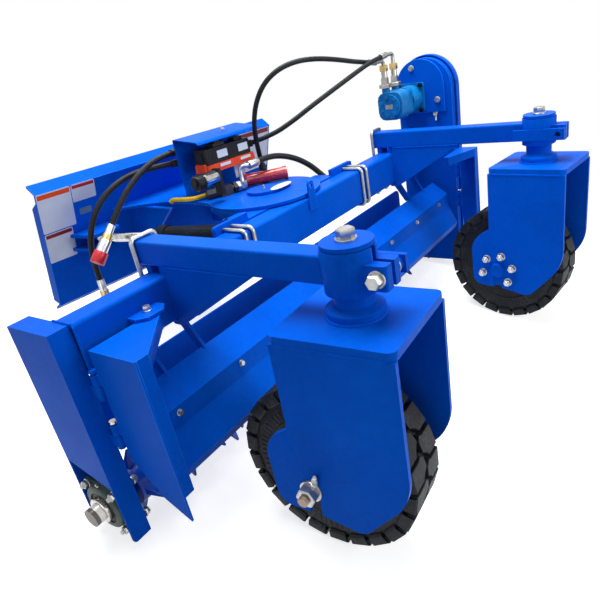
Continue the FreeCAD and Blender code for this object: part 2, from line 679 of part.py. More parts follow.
def swivel_pin():
    made = body("swivel_pin")
    slab(made, "XY", [("0", "swivel_y", "swivel_pin_radius")], "swivel_low + swivel_base_plate",
         "swivel_top + 1")
    slab(made, "XY", [("0", "swivel_y", "swivel_pin_radius + 22")], "swivel_top + 1", "swivel_top + 11")
    node(made, "swivel_pin")


def swivel_u_bolts():
    thread = number("u_bolt_radius")
    top = number("beam_top") + thread + 0.3
    low = number("beam_low") - thread - 0.3
    front = -thread - 0.3
    end = number("beam_depth") + 34
    bolts = []
    for place in (-365, -330, 330, 365):
        bolts.append(u_bolt([(place, end, top), (place, front, top), (place, front, low),
                             (place, end, low)], thread, 15))
    feature("swivel_u_bolts", Part.makeCompound(bolts))


def swivel_disc():
    """Upper turntable plate: a disc that flares into the back of the hitch plate."""
    radius = number("swivel_radius")
    low, thick = number("disc_low"), number("swivel_plate")
    tilt = math.tan(math.radians(number("hitch_tilt")))
    back = number("hitch_reach") + (number("hitch_top") - low - thick) * tilt
    half = 300
    disc = cylinder(VECTOR(0, 0, low), Z, radius, thick)
    start = VECTOR(-radius * math.cos(math.radians(35)), radius * math.sin(math.radians(35)), low)
    bend = VECTOR(-radius * 1.02, back - 110, low)
    corner = VECTOR(-half, back, low)
    far_start, far_bend, far_corner = (VECTOR(-point.x, point.y, point.z)
                                       for point in (start, bend, corner))
    edges = [Part.Arc(start, bend, corner).toShape(),
             Part.LineSegment(corner, far_corner).toShape(),
             Part.Arc(far_corner, far_bend, far_start).toShape(),
             Part.LineSegment(far_start, start).toShape()]
    tail = Part.Face(Part.Wire(edges)).extrude(VECTOR(0, 0, thick))
    bore = cylinder(VECTOR(0, 0, low - 5), Z, number("swivel_pin_radius") + 0.08, thick + 10)
    feature("swivel_disc", disc.fuse(tail).cut(bore).removeSplitter(), **on_hitch())


# ---------------------------------------------------------------- hitch plate
def hitch_line(drop):
    """Front face of the hitch plate, a distance down its slope: (y, z) in the hitch's frame."""
    tilt = math.radians(number("hitch_tilt"))
    return (number("hitch_reach") + drop * math.sin(tilt), number("hitch_top") - drop * math.cos(tilt))


def hitch_plate():
    wall = number("hitch_wall")
    tilt = math.radians(number("hitch_tilt"))
    half = number("hitch_width") / 2
    normal = VECTOR(0, math.cos(tilt), math.sin(tilt))
    down = VECTOR(0, math.sin(tilt), -math.cos(tilt))
    top = VECTOR(-half, *hitch_line(0))
    low = VECTOR(-half, *hitch_line(number("hitch_face")))
    lip_way = VECTOR(0, math.cos(math.radians(38)), math.sin(math.radians(38)))
    foot_way = VECTOR(0, math.cos(math.radians(28)), -math.sin(math.radians(28)))
    lip_normal = VECTOR(0, lip_way.z, -lip_way.y)
    foot_normal = VECTOR(0, -foot_way.z, foot_way.y)
    tip = top + lip_way * 52
    toe = low + foot_way * 48
    inner_top = top + normal * wall + down * (wall * 0.35)
    inner_low = low + normal * wall - down * (wall * 0.4)
    outline = [top, tip, tip + lip_normal * wall, inner_top, inner_low, toe + foot_normal * wall, toe, low]
    plate = Part.Face(Part.makePolygon(outline + [outline[0]])).extrude(VECTOR(2 * half, 0, 0))
    # stiffening flanges down both edges of the back
    for place in (-half, half - wall):
        corners = [inner_top + down * 30, inner_low, inner_low + normal * 34,
                   inner_top + down * 64 + normal * 34]
        rib = Part.Face(Part.makePolygon(corners + [corners[0]])).extrude(VECTOR(wall, 0, 0))
        rib.translate(VECTOR(place + half, 0, 0))
        plate = plate.fuse(rib)
    # slots for the carrier's lock pins, through the angled foot
    for place in (-455, 455):
        slot = Part.makeBox(46, 26, 60, VECTOR(-23, -13, -30))
        slot.rotate(VECTOR(0, 0, 0), X, -28)
        slot.translate(VECTOR(place, 0, 0) + VECTOR(0, (low.y + toe.y) / 2 + 4, (low.z + toe.z) / 2))
        plate = plate.cut(slot)
    feature("hitch_plate", plate.removeSplitter(), **on_hitch())


def hitch_gussets():
    """Upright webs between the turntable plate and the lower part of the hitch plate."""
    low = number("disc_low")
    foot = low - number("gusset_drop")
    slope = number("slope")
    reach, top = number("hitch_reach"), number("hitch_top")
    inner = VECTOR(0, reach + (top - low) * slope, low)
    outer = VECTOR(0, reach + (top - foot) * slope, foot)
    outline = [VECTOR(0, number("gusset_root"), low), inner, outer, outer - Y * 60]
    web = Part.Face(Part.makePolygon(outline + [outline[0]])).extrude(X * 12)
    webs = []
    for place in (-1, 1):
        side_web = web.copy()
        side_web.translate(X * place * number("gusset_offset"))
        webs.append(side_web)
    feature("hitch_gussets", Part.makeCompound(webs), **on_hitch())


def cylinder_brackets():
    """A fork of two plates on the hitch plate, and a lug with a pin on the swivel base."""
    made = body("cylinder_bracket")
    for low in ("(cylinder_z - eye_height / 2 - 12.5)", "(cylinder_z + eye_height / 2 + 0.5)"):
        back = "hitch_reach + (hitch_top - 12 - %s) * slope" % low
        slab(made, "XY", [[("hitch_pin_x - 55", "hitch_pin_y - 45", 25),
                           ("hitch_pin_x + 55", "hitch_pin_y - 45", 25),
                           ("hitch_pin_x + 80", back), ("hitch_pin_x - 80", back)]], low, low + " + 12")
    node(made, "cylinder_bracket", **on_hitch())
    pin = body("cylinder_pin")
    slab(pin, "XY", [("frame_pin_x", "frame_pin_y", "cylinder_pin_radius")],
         "cylinder_z - eye_height / 2 - 8", "swivel_low")
    slab(pin, "XY", [("frame_pin_x", "frame_pin_y", "cylinder_pin_radius + 7")],
         "cylinder_z - eye_height / 2 - 8", "cylinder_z - eye_height / 2 - 0.5")
    slab(pin, "XY", [("frame_pin_x", "frame_pin_y", "cylinder_pin_radius + 7")],
         "cylinder_z + eye_height / 2 + 0.5", "swivel_low")
    node(pin, "cylinder_pin")


def cylinder_axis():
    """The swing cylinder's two pins at rest, in the beam's frame."""
    turn = FreeCAD.Rotation(Z, number("hitch_yaw"))
    reach = turn.multVec(VECTOR(number("hitch_pin_x"), number("hitch_pin_y"), 0))
    far = VECTOR(0, number("swivel_y"), number("cylinder_z")) + reach
    near = VECTOR(number("frame_pin_x"), number("frame_pin_y"), number("cylinder_z"))
    return near, far


def swing_cylinder():
    near, far = cylinder_axis()
    way = (far - near).normalize()
    eye, height = number("eye_radius"), number("eye_height")
    pin = number("cylinder_pin_radius")
    base = near - Z * (height / 2)
    length, bore = number("barrel_length"), number("barrel_radius")
    barrel = cylinder(near + way * 20, way, bore, length - 20)
    gland = cylinder(near + way * (length - 34), way, bore + 5, 34)
    ring = cylinder(base, Z, eye, height)
    hole = cylinder(base - Z, Z, pin + 0.06, height + 2)
    rod_hole = cylinder(near + way * number("barrel_bore_start"), way, number("rod_radius") + 0.06, length)
    feature("cylinder_barrel", barrel.fuse([gland, ring]).cut(hole).cut(rod_hole).removeSplitter())
    reach = (far - near).Length
    start = number("rod_start")
    stem = cylinder(near + way * start, way, number("rod_radius"), reach - start)
    tip = cylinder(far - Z * (height / 2), Z, eye, height)
    feature("cylinder_rod", stem.fuse(tip).removeSplitter())


# ---------------------------------------------------------------- hitch fittings
def valve_shroud():
    """Folded guard over the valves; its roof stops short on the right, where a hose comes down."""
    made = body("valve_shroud")
    left, right = "-150", "160"
    slab(made, "YZ", [[("121", "swivel_top"), ("257", "swivel_top"), ("257", "swivel_top + 222"),
                       ("121", "swivel_top + 190")]], left, left + " + 4")
    slab(made, "XZ", [box(left, right, "swivel_top", "swivel_top + 221")], "253", "257")
    slab(made, "YZ", [[("121", "swivel_top + 186"), ("257", "swivel_top + 218"),
                       ("257", "swivel_top + 222"), ("121", "swivel_top + 190")]], left, right + " - 65")
    node(made, "valve_shroud", **on_hitch())


def control_box():
    made = body("control_box")
    slab(made, "XY", [[("-115", "135", 8), ("100", "135", 8), ("100", "200", 8), ("-115", "200", 8)]],
         "swivel_top + 104", "swivel_top + 172")
    slab(made, "XY", [box("-60", "50", "190", "253")], "swivel_top + 120", "swivel_top + 150")
    node(made, "control_box", **on_hitch())


# ---------------------------------------------------------------- hydraulics
def swing_valve():
    """Valve body with a coil, a line of fittings along the turntable, and the elbow of its hose."""
    top = number("swivel_top")
    start, end = VECTOR(-111, 379, top + 20), VECTOR(17, 315, top + 20)
    way = (end - start).normalize()
    line = [hexagon(start, way, 30, 34), cylinder(start, way, 10, (end - start).Length),
            hexagon(start + way * 104, way, 34, 26)]
    block = Part.makeBox(46, 40, 37, VECTOR(-23, -20, -20))
    block.rotate(VECTOR(0, 0, 0), Z, math.degrees(math.atan2(way.y, way.x)))
    block.translate(start + way * 72)
    elbow = hose_elbow(VECTOR(end.x, end.y, top + 10), "valve_hose")
    feature("swing_valve", block.fuse(line + [elbow]).removeSplitter())


def solenoid():
    """Coil with its cap, on a slim valve body that stands on the turntable."""
    top = number("swivel_top")
    axis = VECTOR(-106, 300, top + 88)
    stand = Part.makeBox(30, 44, 122, VECTOR(axis.x, axis.y - 22, top))
    coil = cylinder(axis, -X, number("coil_radius"), 84)
    cap = cylinder(axis - X * 84, -X, number("coil_radius") + 1, 38)
    plug = Part.makeBox(26, 22, 30, VECTOR(axis.x - 34, axis.y - 11, axis.z + 18))
    feature("solenoid", stand.fuse([coil, cap, plug]).removeSplitter())


def document_tube():
    """Clear tube for papers, lying on the turntable."""
    made = body("document_tube")
    slab(made, "XZ", [("0", "tube_radius + 2", "tube_radius")], "-74", "74")
    slab(made, "XZ", [("0", "tube_radius + 2", "tube_radius + 2")], "-86", "-74")
    node(made, "document_tube", x="112", y="286", z="swivel_top", turn=about_upright("45"))


def hose_ports():
    """Where the hoses arrive: a port on the turntable, a boot on the control box, and a port block
    behind the guard for the two supply hoses."""
    top = number("swivel_top")
    ports = []
    end = VECTOR(*HOSES["motor_hose_upper"][0][-1])
    ports.append(cylinder(VECTOR(end.x, end.y, top), Z, 13, end.z - top))
    end = VECTOR(*HOSES["motor_hose_lower"][0][-1])
    before = VECTOR(*HOSES["motor_hose_lower"][0][-2])
    box_side = Part.makeBox(100, 400, 400, VECTOR(0, 0, top))
    box_side.Placement = FreeCAD.Placement(VECTOR(0, number("swivel_y"), 0),
                                           FreeCAD.Rotation(Z, number("hitch_yaw")))
    ports.append(cylinder(end, (end - before).normalize(), 13, 44).cut(box_side))
    block = Part.makeBox(80, 72, 92, VECTOR(-95, 257, top + 106))
    block.rotate(VECTOR(0, 0, 0), Z, number("hitch_yaw"))
    block.translate(VECTOR(0, number("swivel_y"), 0))
    for hose in ("supply_hose_upper", "supply_hose_lower"):
        points = [VECTOR(*point) for point in HOSES[hose][0][:2]]
        back = (points[0] - points[1]).normalize()
        block = block.fuse(cylinder(points[0], back, HOSES[hose][1] + 3, 54))
    ports.append(block.removeSplitter())
    feature("hose_ports", Part.makeCompound(ports))


def frame_port():
    """Port on the back of the swivel base for the hose that comes from the valve."""
    points = [VECTOR(*point) for point in HOSES["valve_hose"][0]]
    way = (points[-1] - points[-2]).normalize()
    back = number("beam_depth") + 14
    foot = points[-1] + way * ((back - 1 - points[-1].y) / way.y)
    upright = Part.makeBox(200, 60, 200, VECTOR(foot.x - 100, back - 60, foot.z - 100))
    feature("frame_port", cylinder(points[-1], way, 14, (foot - points[-1]).Length).cut(upright))


def coupler(label, start, way, lengths):
    """Quick coupler on the end of a supply hose: sleeve, nut, barrel and dust cap in one line."""
    parts = []
    for radius, length in lengths:
        parts.append(cylinder(start, way, radius, length))
        start = start + way * length
    feature(label, parts[0].fuse(parts[1:]).removeSplitter())


def hoses():
    for label, (points, radius) in HOSES.items():
        feature(label, rod([VECTOR(*point) for point in points], radius))
    points = [VECTOR(*point) for point in HOSES["supply_hose_upper"][0]]
    coupler("coupler_upper", points[-1], (points[-1] - points[-2]).normalize(),
            [(13, 34), (16, 20), (19, 44), (23, 40)])
    points = [VECTOR(*point) for point in HOSES["supply_hose_lower"][0]]
    coupler("coupler_lower", points[-1], (points[-1] - points[-2]).normalize(),
            [(13, 40), (16, 22), (19, 60)])


# ---------------------------------------------------------------- casters
def spindle(side):
    name = hand(side)
    made = body("spindle_" + name)
    shoulder = "collar_low + %s_sink - 1" % name
    cap = "collar_low + %s_sink + collar_height + 1" % name
    spin(made, "XZ", [("0", "caster_top"), ("flange_radius", "caster_top"),
                      ("flange_radius", "caster_top + flange_thick"),
                      ("flange_radius - 9", "caster_top + flange_thick + 5"),
                      ("spindle_radius + 6", "caster_top + flange_thick + 10"),
                      ("spindle_radius + 6", shoulder), ("spindle_radius", shoulder),
                      ("spindle_radius", cap), ("collar_radius - 3", cap),
                      ("collar_radius - 3", cap + " + cap_thick"), ("0", cap + " + cap_thick")])
    node(made, "spindle_" + name, **on_caster(side))


def caster_fork(side):
    """Top plate with two lobed side plates, open below for the axle."""
    name = hand(side)
    made = body("caster_fork_" + name)
    across = "caster_plate_across / 2"
    front, back = "-caster_plate / 2", "caster_plate / 2"
    slab(made, "XY", [[("-" + across, front, 18), (across, front, 18), (across, back, 18),
                       ("-" + across, back, 18)]], "caster_top - caster_plate_wall", "caster_top")
    under, notch = "caster_top - caster_plate_wall", "axle_z + 166"
    slot_front, slot_back = "caster_trail - axle_slot", "caster_trail + axle_slot"
    outline = [(front, under), (front, "axle_z + 45", 160), ("caster_trail - 123", "axle_z - 95", 40),
               (slot_front, "axle_z - 74"), (slot_front, "axle_z"), (slot_back, "axle_z"),
               (slot_back, "axle_z - 74"), ("caster_trail + 102", "axle_z - 70", 40),
               ("caster_trail + 107", "axle_z + 120", 90), (back, notch, 8), (back, under)]
    for face in ("-" + across, across + " - fork_wall"):
        slab(made, "YZ", [outline], face, face + " + fork_wall")
        slab(made, "YZ", [("caster_trail", "axle_z", "axle_slot")], face, face + " + fork_wall",
             cut=True)
    node(made, "caster_fork_" + name, **on_caster(side))


def axle(side):
    """Bolt through both side plates, with spacers that centre the wheel."""
    name = hand(side)
    made = body("axle_" + name)
    half = "caster_plate_across / 2"
    y, z = "caster_trail", "axle_z"
    slab(made, "YZ", [(y, z, "axle_radius")], "-" + half + " - 24", half + " + 24")
    for low, high in (("-" + half + " - 16", "-" + half), (half, half + " + 16"),
                      ("-" + half + " + fork_wall", "-tyre_width / 2 - hub_gap"),
                      ("tyre_width / 2 + hub_gap", half + " - fork_wall")):
        slab(made, "YZ", [(y, z, "axle_radius + 9")], low, high)
    node(made, "axle_" + name, **on_caster(side))


def wheel(side):
    """Dished steel wheel and its solid tyre, both turned about +Z and then laid on the axle."""
    name = hand(side)
    half = "tyre_width / 2"
    rim = [("axle_radius + 0.06", "-" + half), ("38", "-" + half), ("44", "-" + half + " + 8"),
           ("44", "-14"), ("rim_radius - 10", "-14"), ("rim_radius - 10", "-" + half + " + 6"),
           ("rim_radius - 0.2", "-" + half + " + 6"), ("rim_radius - 0.2", half + " - 6"),
           ("rim_radius - 10", half + " - 6"), ("rim_radius - 10", "14"), ("44", "14"),
           ("44", half + " - 8"), ("38", half), ("axle_radius + 0.06", half)]
    tyre = [("rim_radius", "-" + half + " + 4"), ("rim_radius + 10", "-" + half),
            ("wheel_diameter / 2 - 22", "-" + half), ("wheel_diameter / 2", "-" + half + " + 10"),
            ("wheel_diameter / 2", half + " - 10"), ("wheel_diameter / 2 - 22", half),
            ("rim_radius + 10", half), ("rim_radius", half + " - 4")]
    for label, outline in (("rim_" + name, rim), ("tyre_" + name, tyre)):
        made = body(label)
        spin(made, "XZ", outline)
        node(made, label, **on_axle(side))


# ---------------------------------------------------------------- wings
def wing(side):
    """End gate: a side panel with a front flange and a stiffened top, on two hinges."""
    name = hand(side)
    made = body("wing_" + name)
    hinge = name + "_hinge_y"
    rear = hinge + " - wing_hinge_radius - 3"
    front = name + "_wing_front"

    def inward(near, far):
        """Two levels of X, given as distances inwards from the inside of the end housing."""
        if side < 0:
            return "-half_width + (%s)" % near, "-half_width + (%s)" % far
        return "half_width - (%s)" % far, "half_width - (%s)" % near

    def corner(distance, y):
        return "%d * (half_width - (%s))" % (side, distance), y

    slab(made, "YZ", [[(rear, "wing_top"), (front, "wing_top"), (front + " - 6", "124"),
                       (front + " + 70", "165"), (rear, "262")]], *inward("wing_gap", "wing_gap + wing_wall"))
    slab(made, "XZ", [box(*inward("wing_gap", "wing_flange"), "190", "wing_top")],
         front, front + " + wing_wall")
    tip = "%s - 22" % rear
    slab(made, "XY", [[corner("wing_gap", front), corner("wing_flange", front),
                       corner("wing_top_reach", tip), corner("wing_top_reach", rear),
                       corner("wing_gap", rear)]], "wing_top - wing_wall", "wing_top")
    slab(made, "XY", [[corner("wing_flange", front), corner("wing_top_reach", tip),
                       corner("wing_top_reach - 4", tip + " + 5"), corner("wing_flange - 2", front + " + 8")]],
         "wing_top - 34", "wing_top - wing_wall")
    centre = ("%d * half_width" % side, hinge)
    for low in ("331", "471"):
        slab(made, "XY", [centre + ("wing_hinge_radius",)], low, low + " + 30")
        slab(made, "XY", [box(*inward("wing_gap", "wing_gap + 4"), rear, hinge)], low, low + " + 30")
        slab(made, "XY", [centre + ("wing_hinge_radius * 0.6 + 0.06",)], low, low + " + 30", cut=True)
    node(made, "wing_" + name)


def wing_latches():
    """Chamfered ears on the front of the beam, over the wings' tops, which bolt up to them."""
    made = body("wing_latches")
    outline = [("-30", "0"), ("60", "0"), ("60", "-30"), ("38", "-54"), ("-8", "-54"), ("-30", "-32")]
    for side in (-1, 1):
        start = "%d * (half_width - wing_top_reach)" % side
        slab(made, "XY", [[("%s + %d * (%s)" % (start, side, x), y) for x, y in outline]],
             "wing_top + wing_gap", "wing_top + wing_gap + 8")
    node(made, "wing_latches")


main_beam()
end_housing()
chain_case()
motor_mount()
hydraulic_motor()
rotor()
rotor_bearing()
deflector()
rear_shield()
struts()
for side in (-1, 1):
    arm(side)
    spindle(side)
    caster_fork(side)
    axle(side)
    wheel(side)
    hinge_knuckles(side)
    wing(side)
wing_latches()
arm_u_bolts()
swivel_base()
swivel_pin()
swivel_u_bolts()
swivel_disc()
hitch_plate()
hitch_gussets()
cylinder_brackets()
swing_cylinder()
valve_shroud()
control_box()
motor_fittings()
swing_valve()
solenoid()
document_tube()
hose_ports()
frame_port()
hoses()
doc.recompute()

# ---------------------------------------------------------------- checks and export
for item in doc.Objects:
    if "Invalid" in item.State or "Error" in item.State:
        raise RuntimeError("%s (%s) did not build: %s" % (item.Name, item.Label, item.State))
for item in NODES:
    if item.Shape.isNull() or not item.Shape.isValid() or not item.Shape.Solids:
        raise RuntimeError("%s has no valid shape" % item.Label)
os.makedirs("parts", exist_ok=True)
for item in NODES:
    item.Shape.exportStep("parts/%s.step" % item.Label)
overall = FreeCAD.BoundBox()
for item in NODES:
    overall.add(item.Shape.BoundBox)
print("%d nodes, X %.1f..%.1f, Y %.1f..%.1f, Z %.1f..%.1f" % (
    len(NODES), overall.XMin, overall.XMax, overall.YMin, overall.YMax, overall.ZMin, overall.ZMax))
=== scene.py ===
"""A hydraulic soil conditioner for a skid steer: the looks of its pieces, built round the fixed CAD frame.

Points given in millimetres are in the machine's own frame: +X along the beam towards the chain case,
+Y towards the hitch, +Z up, with the beam level. STANCE leans that frame back, as the machine parks.
"""

import math

import bmesh
import bpy
from mathutils import Matrix, Vector


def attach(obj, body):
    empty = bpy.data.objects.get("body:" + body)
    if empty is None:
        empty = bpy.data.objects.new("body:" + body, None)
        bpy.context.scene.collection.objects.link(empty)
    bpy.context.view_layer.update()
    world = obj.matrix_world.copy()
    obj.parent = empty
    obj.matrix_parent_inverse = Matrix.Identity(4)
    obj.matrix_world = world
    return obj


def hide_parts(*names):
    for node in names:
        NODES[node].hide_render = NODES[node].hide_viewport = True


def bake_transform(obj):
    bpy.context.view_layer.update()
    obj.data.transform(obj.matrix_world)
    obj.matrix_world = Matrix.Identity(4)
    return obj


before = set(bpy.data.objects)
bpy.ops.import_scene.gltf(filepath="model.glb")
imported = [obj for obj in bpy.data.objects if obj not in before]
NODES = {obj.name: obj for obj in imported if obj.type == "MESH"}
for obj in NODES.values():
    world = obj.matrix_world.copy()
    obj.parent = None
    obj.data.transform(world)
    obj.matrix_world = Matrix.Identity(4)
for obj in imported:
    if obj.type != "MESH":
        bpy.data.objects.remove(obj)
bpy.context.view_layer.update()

# -------------------- the bay
# The machine stands alone on a white floor under wide soft lamps, seen from its left front corner at
# about a person's height. The floor keeps the shadow under the wheels.


class Wire:
    """An output socket of a material's nodes. Sums written with it add the nodes they need."""

    def __init__(self, tree, socket=None):
        self.tree = tree
        self.socket = socket

    def node(self, kind, settings, inputs, out=0):
        """Add any node: its settings first, then the values or links of its sockets."""
        made = self.tree.nodes.new("ShaderNode" + kind)
        for name, value in settings.items():
            if name == "stops":
                stops = made.color_ramp.elements
                while len(stops) < len(value):
                    stops.new(1)
                for stop, (place, colour) in zip(stops, value):
                    stop.position = place
                    stop.color = colour
            else:
                setattr(made, name, value)
        for name, value in inputs.items():
            if isinstance(value, Wire):
                self.tree.links.new(value.socket, made.inputs[name])
            else:
                made.inputs[name].default_value = value
        return Wire(self.tree, made.outputs[out])

    def math(self, operation, first, second):
        return self.node("Math", {"operation": operation}, {0: first, 1: second})

    def __add__(self, other):
        return self.math("ADD", self, other)

    def __sub__(self, other):
        return self.math("SUBTRACT", self, other)

    def __rsub__(self, other):
        return self.math("SUBTRACT", other, self)

    def __mul__(self, other):
        return self.math("MULTIPLY", self, other)

    def __gt__(self, other):
        return self.math("GREATER_THAN", self, other)

    def __lt__(self, other):
        return self.math("LESS_THAN", self, other)

    __radd__ = __add__
    __rmul__ = __mul__

    def between(self, first, second):
        """The colour that lies this far from the first to the second."""
        return self.node("Mix", {"data_type": "RGBA"}, {0: self, 6: first, 7: second}, out=2)

    def ramp(self, low, high):
        """0 below low, 1 above high and even in between."""
        stops = [(low, (0, 0, 0, 1)), (high, (1, 1, 1, 1))]
        return self.node("ValToRGB", {"stops": stops}, {0: self})


def new_material(name):
    """A material and its empty node tree."""
    made = bpy.data.materials.new(name)
    made.use_nodes = True
    made.node_tree.nodes.clear()
    return made, Wire(made.node_tree)


def surfaced(made, shader):
    output = made.node_tree.nodes.new("ShaderNodeOutputMaterial")
    made.node_tree.links.new(shader.socket, output.inputs["Surface"])
    return made


def seen_rays(tree):
    """1 for the rays that show the backdrop: from the camera, mirrored, or through something clear."""
    kinds = ("Camera", "Glossy", "Transmission")
    camera, glossy, through = (tree.node("LightPath", {}, {}, out="Is %s Ray" % kind) for kind in kinds)
    return (camera + glossy + through) > 0.5


def floor_white():
    """White floor that keeps a soft shadow near the machine and fades to plain white further out."""
    made, tree = new_material("floor_white")
    place = tree.node("TexCoord", {}, {}, out="Object")
    away = tree.node("VectorMath", {"operation": "LENGTH"}, {0: place}, out="Value")
    matt = tree.node("BsdfDiffuse", {}, {"Color": (0.62, 0.62, 0.62, 1)})
    glow = tree.node("Emission", {}, {"Color": (1, 1, 1, 1), "Strength": 0.72})
    near = tree.node("AddShader", {}, {0: matt, 1: glow})
    plain = tree.node("Emission", {}, {"Color": (1, 1, 1, 1), "Strength": 1.0})
    far = (away * 0.25).ramp(0.30, 0.55)
    shown = tree.node("MixShader", {}, {0: far, 1: near, 2: plain})
    return surfaced(made, tree.node("MixShader", {}, {0: seen_rays(tree), 1: matt, 2: shown}))


def link(made):
    bpy.context.scene.collection.objects.link(made)
    return made


FLOOR, FLOOR_Z = 14, -0.0005
ground = bpy.data.meshes.new("floor")
ground.from_pydata([(x * FLOOR, y * FLOOR, FLOOR_Z) for x, y in ((-1, -1), (1, -1), (1, 1), (-1, 1))], [],
                   [(0, 1, 2, 3)])
ground.materials.append(floor_white())
link(bpy.data.objects.new("floor", ground))

world = bpy.data.worlds.new("sky")
bpy.context.scene.world = world
world.use_nodes = True
world.node_tree.nodes.clear()
sky = Wire(world.node_tree)
plain = sky.node("Background", {}, {"Color": (1, 1, 1, 1), "Strength": 1.0})
soft = sky.node("Background", {}, {"Color": (0.95, 0.97, 1, 1), "Strength": 0.28})
lit = sky.node("MixShader", {}, {0: seen_rays(sky), 1: soft, 2: plain})
world.node_tree.links.new(lit.socket, sky.tree.nodes.new("ShaderNodeOutputWorld").inputs["Surface"])


def lamp(name, place, aim, size, watts):
    light = bpy.data.lights.new(name, "AREA")
    light.shape = "RECTANGLE"
    light.size, light.size_y = size
    light.energy = watts
    made = link(bpy.data.objects.new(name, light))
    made.location = place
    made.rotation_euler = (Vector(aim) - Vector(place)).to_track_quat("-Z", "Y").to_euler()


lamp("overhead", (0.3, 0.4, 3.4), (0, 0, 0.4), (3.0, 2.2), 190)
lamp("front_key", (0.6, -3.4, 1.7), (0, 0, 0.4), (2.4, 1.6), 54)
lamp("left_fill", (-3.6, -0.4, 1.5), (0, 0, 0.4), (1.8, 1.8), 11)

eye = bpy.data.cameras.new("eye")
eye.lens = 32.9934
eye.shift_x = -0.03953
eye.shift_y = 0.01148
camera = link(bpy.data.objects.new("eye", eye))
camera.location = (-1.4730, -1.08738, 1.21323)
camera.rotation_euler = [math.radians(turn) for turn in (60.5388, 3.1062, -57.7028)]
bpy.context.scene.camera = camera
bpy.context.scene.view_settings.view_transform = "Standard"

# -------------------- hoses
# Two-wire hydraulic hose, a black rubber cover over steel braid, and a ribbed yellow wrap round the
# valve's wires. Each hose leaves a crimped sleeve and is stiff enough to stand in an arch between its
# ends. The routes are in metres, in the machine's own frame.


def shift(x, y, z):
    return Matrix.Translation((x, y, z))


def spin(degrees, axis):
    return Matrix.Rotation(math.radians(degrees), 4, axis)


STANCE = shift(0.014, -0.1401, 0.008807) @ spin(-7, "X")
HOSE_ROUTES = {
    "motor_hose_upper": [
        (0.640, 0.078, 0.980), (0.545, 0.084, 0.993), (0.440, 0.096, 1.014), (0.330, 0.120, 1.033),
        (0.245, 0.155, 1.037), (0.184, 0.196, 1.020), (0.144, 0.236, 0.982), (0.123, 0.268, 0.925),
        (0.120, 0.292, 0.862), (0.129, 0.307, 0.800), (0.143, 0.317, 0.744), (0.150, 0.320, 0.704)],
    "motor_hose_lower": [
        (0.690, 0.052, 0.990), (0.610, 0.055, 0.982), (0.515, 0.075, 0.955), (0.415, 0.112, 0.918),
        (0.320, 0.162, 0.876), (0.245, 0.216, 0.833), (0.186, 0.274, 0.800), (0.136, 0.334, 0.787)],
    "valve_hose": [
        (0.085, 0.283, 0.728), (0.138, 0.276, 0.731), (0.195, 0.256, 0.722), (0.246, 0.226, 0.698),
        (0.280, 0.190, 0.662), (0.295, 0.155, 0.622), (0.297, 0.124, 0.594)],
    "supply_hose_upper": [
        (-0.114, 0.506, 0.812), (-0.168, 0.512, 0.810), (-0.232, 0.522, 0.790), (-0.300, 0.532, 0.750),
        (-0.362, 0.538, 0.700), (-0.414, 0.540, 0.646)],
    "supply_hose_lower": [
        (-0.110, 0.519, 0.774), (-0.182, 0.548, 0.779), (-0.272, 0.580, 0.772), (-0.356, 0.602, 0.738),
        (-0.420, 0.616, 0.678), (-0.458, 0.622, 0.606), (-0.472, 0.624, 0.532), (-0.474, 0.620, 0.465)],
    "wire_wrap": [
        (-0.1414, 0.5436, 0.640), (-0.1412, 0.5356, 0.648), (-0.1373, 0.506, 0.649), (-0.1352, 0.4776, 0.649),
        (-0.1326, 0.4452, 0.650), (-0.1233, 0.4191, 0.652), (-0.1001, 0.4005, 0.654),
        (-0.0707, 0.3934, 0.656), (-0.0398, 0.4003, 0.660)],
}


def toned(colour, share):
    """The colour with its light scaled by a share."""
    return [share * part for part in colour[:3]] + [1]


def principled(made, tree, inputs):
    return surfaced(made, tree.node("BsdfPrincipled", {}, inputs))


def noise(tree, scale, detail=3, stretch=None):
    """Clouded noise at the given number of blobs per metre, fixed to the piece."""
    place = tree.node("TexCoord", {}, {}, out="Object")
    if stretch:
        place = tree.node("VectorMath", {"operation": "MULTIPLY"}, {0: place, 1: stretch})
    return tree.node("TexNoise", {}, {"Vector": place, "Scale": scale, "Detail": detail})


def moulded(name, colour, rough, dust=0.12, sheen=0.18):
    """Rubber or plastic: a little mottled, with a fine grain and a film of pale dust in places."""
    made, tree = new_material(name)
    mottled = noise(tree, 35, 4).ramp(0.3, 0.7)
    shade = mottled.between(colour, toned(colour, 1.5))
    film = (noise(tree, 14, 5) * noise(tree, 160, 3)).ramp(0.24, 0.42) * dust
    shade = film.between(shade, (0.085, 0.095, 0.11, 1))
    grain = tree.node("Bump", {}, {"Strength": 0.3, "Distance": 0.0003, "Height": noise(tree, 620, 2)})
    return principled(made, tree, {
        "Base Color": shade, "Roughness": noise(tree, 90, 3) * 0.2 + (rough - 0.1), "Normal": grain,
        "Specular IOR Level": sheen})


wrap_yellow = moulded("wrap_yellow", (0.62, 0.40, 0.008, 1), 0.45)
hose_rubber = moulded("hose_rubber", (0.005, 0.006, 0.008, 1), 0.42)


def hose_curve(name, points, thick):
    """A curve along the route, with the route's points as its control points."""
    line = bpy.data.curves.new(name, "CURVE")
    line.dimensions = "3D"
    line.resolution_u = 16
    spline = line.splines.new("NURBS")
    spline.points.add(len(points) - 1)
    for control, point in zip(spline.points, points):
        control.co = (*(STANCE @ Vector(point)), 1)
    spline.order_u = 3
    spline.use_endpoint_u = True
    line.bevel_depth = thick / 2
    line.bevel_resolution = 6
    line.use_fill_caps = True
    return link(bpy.data.objects.new(name, line))


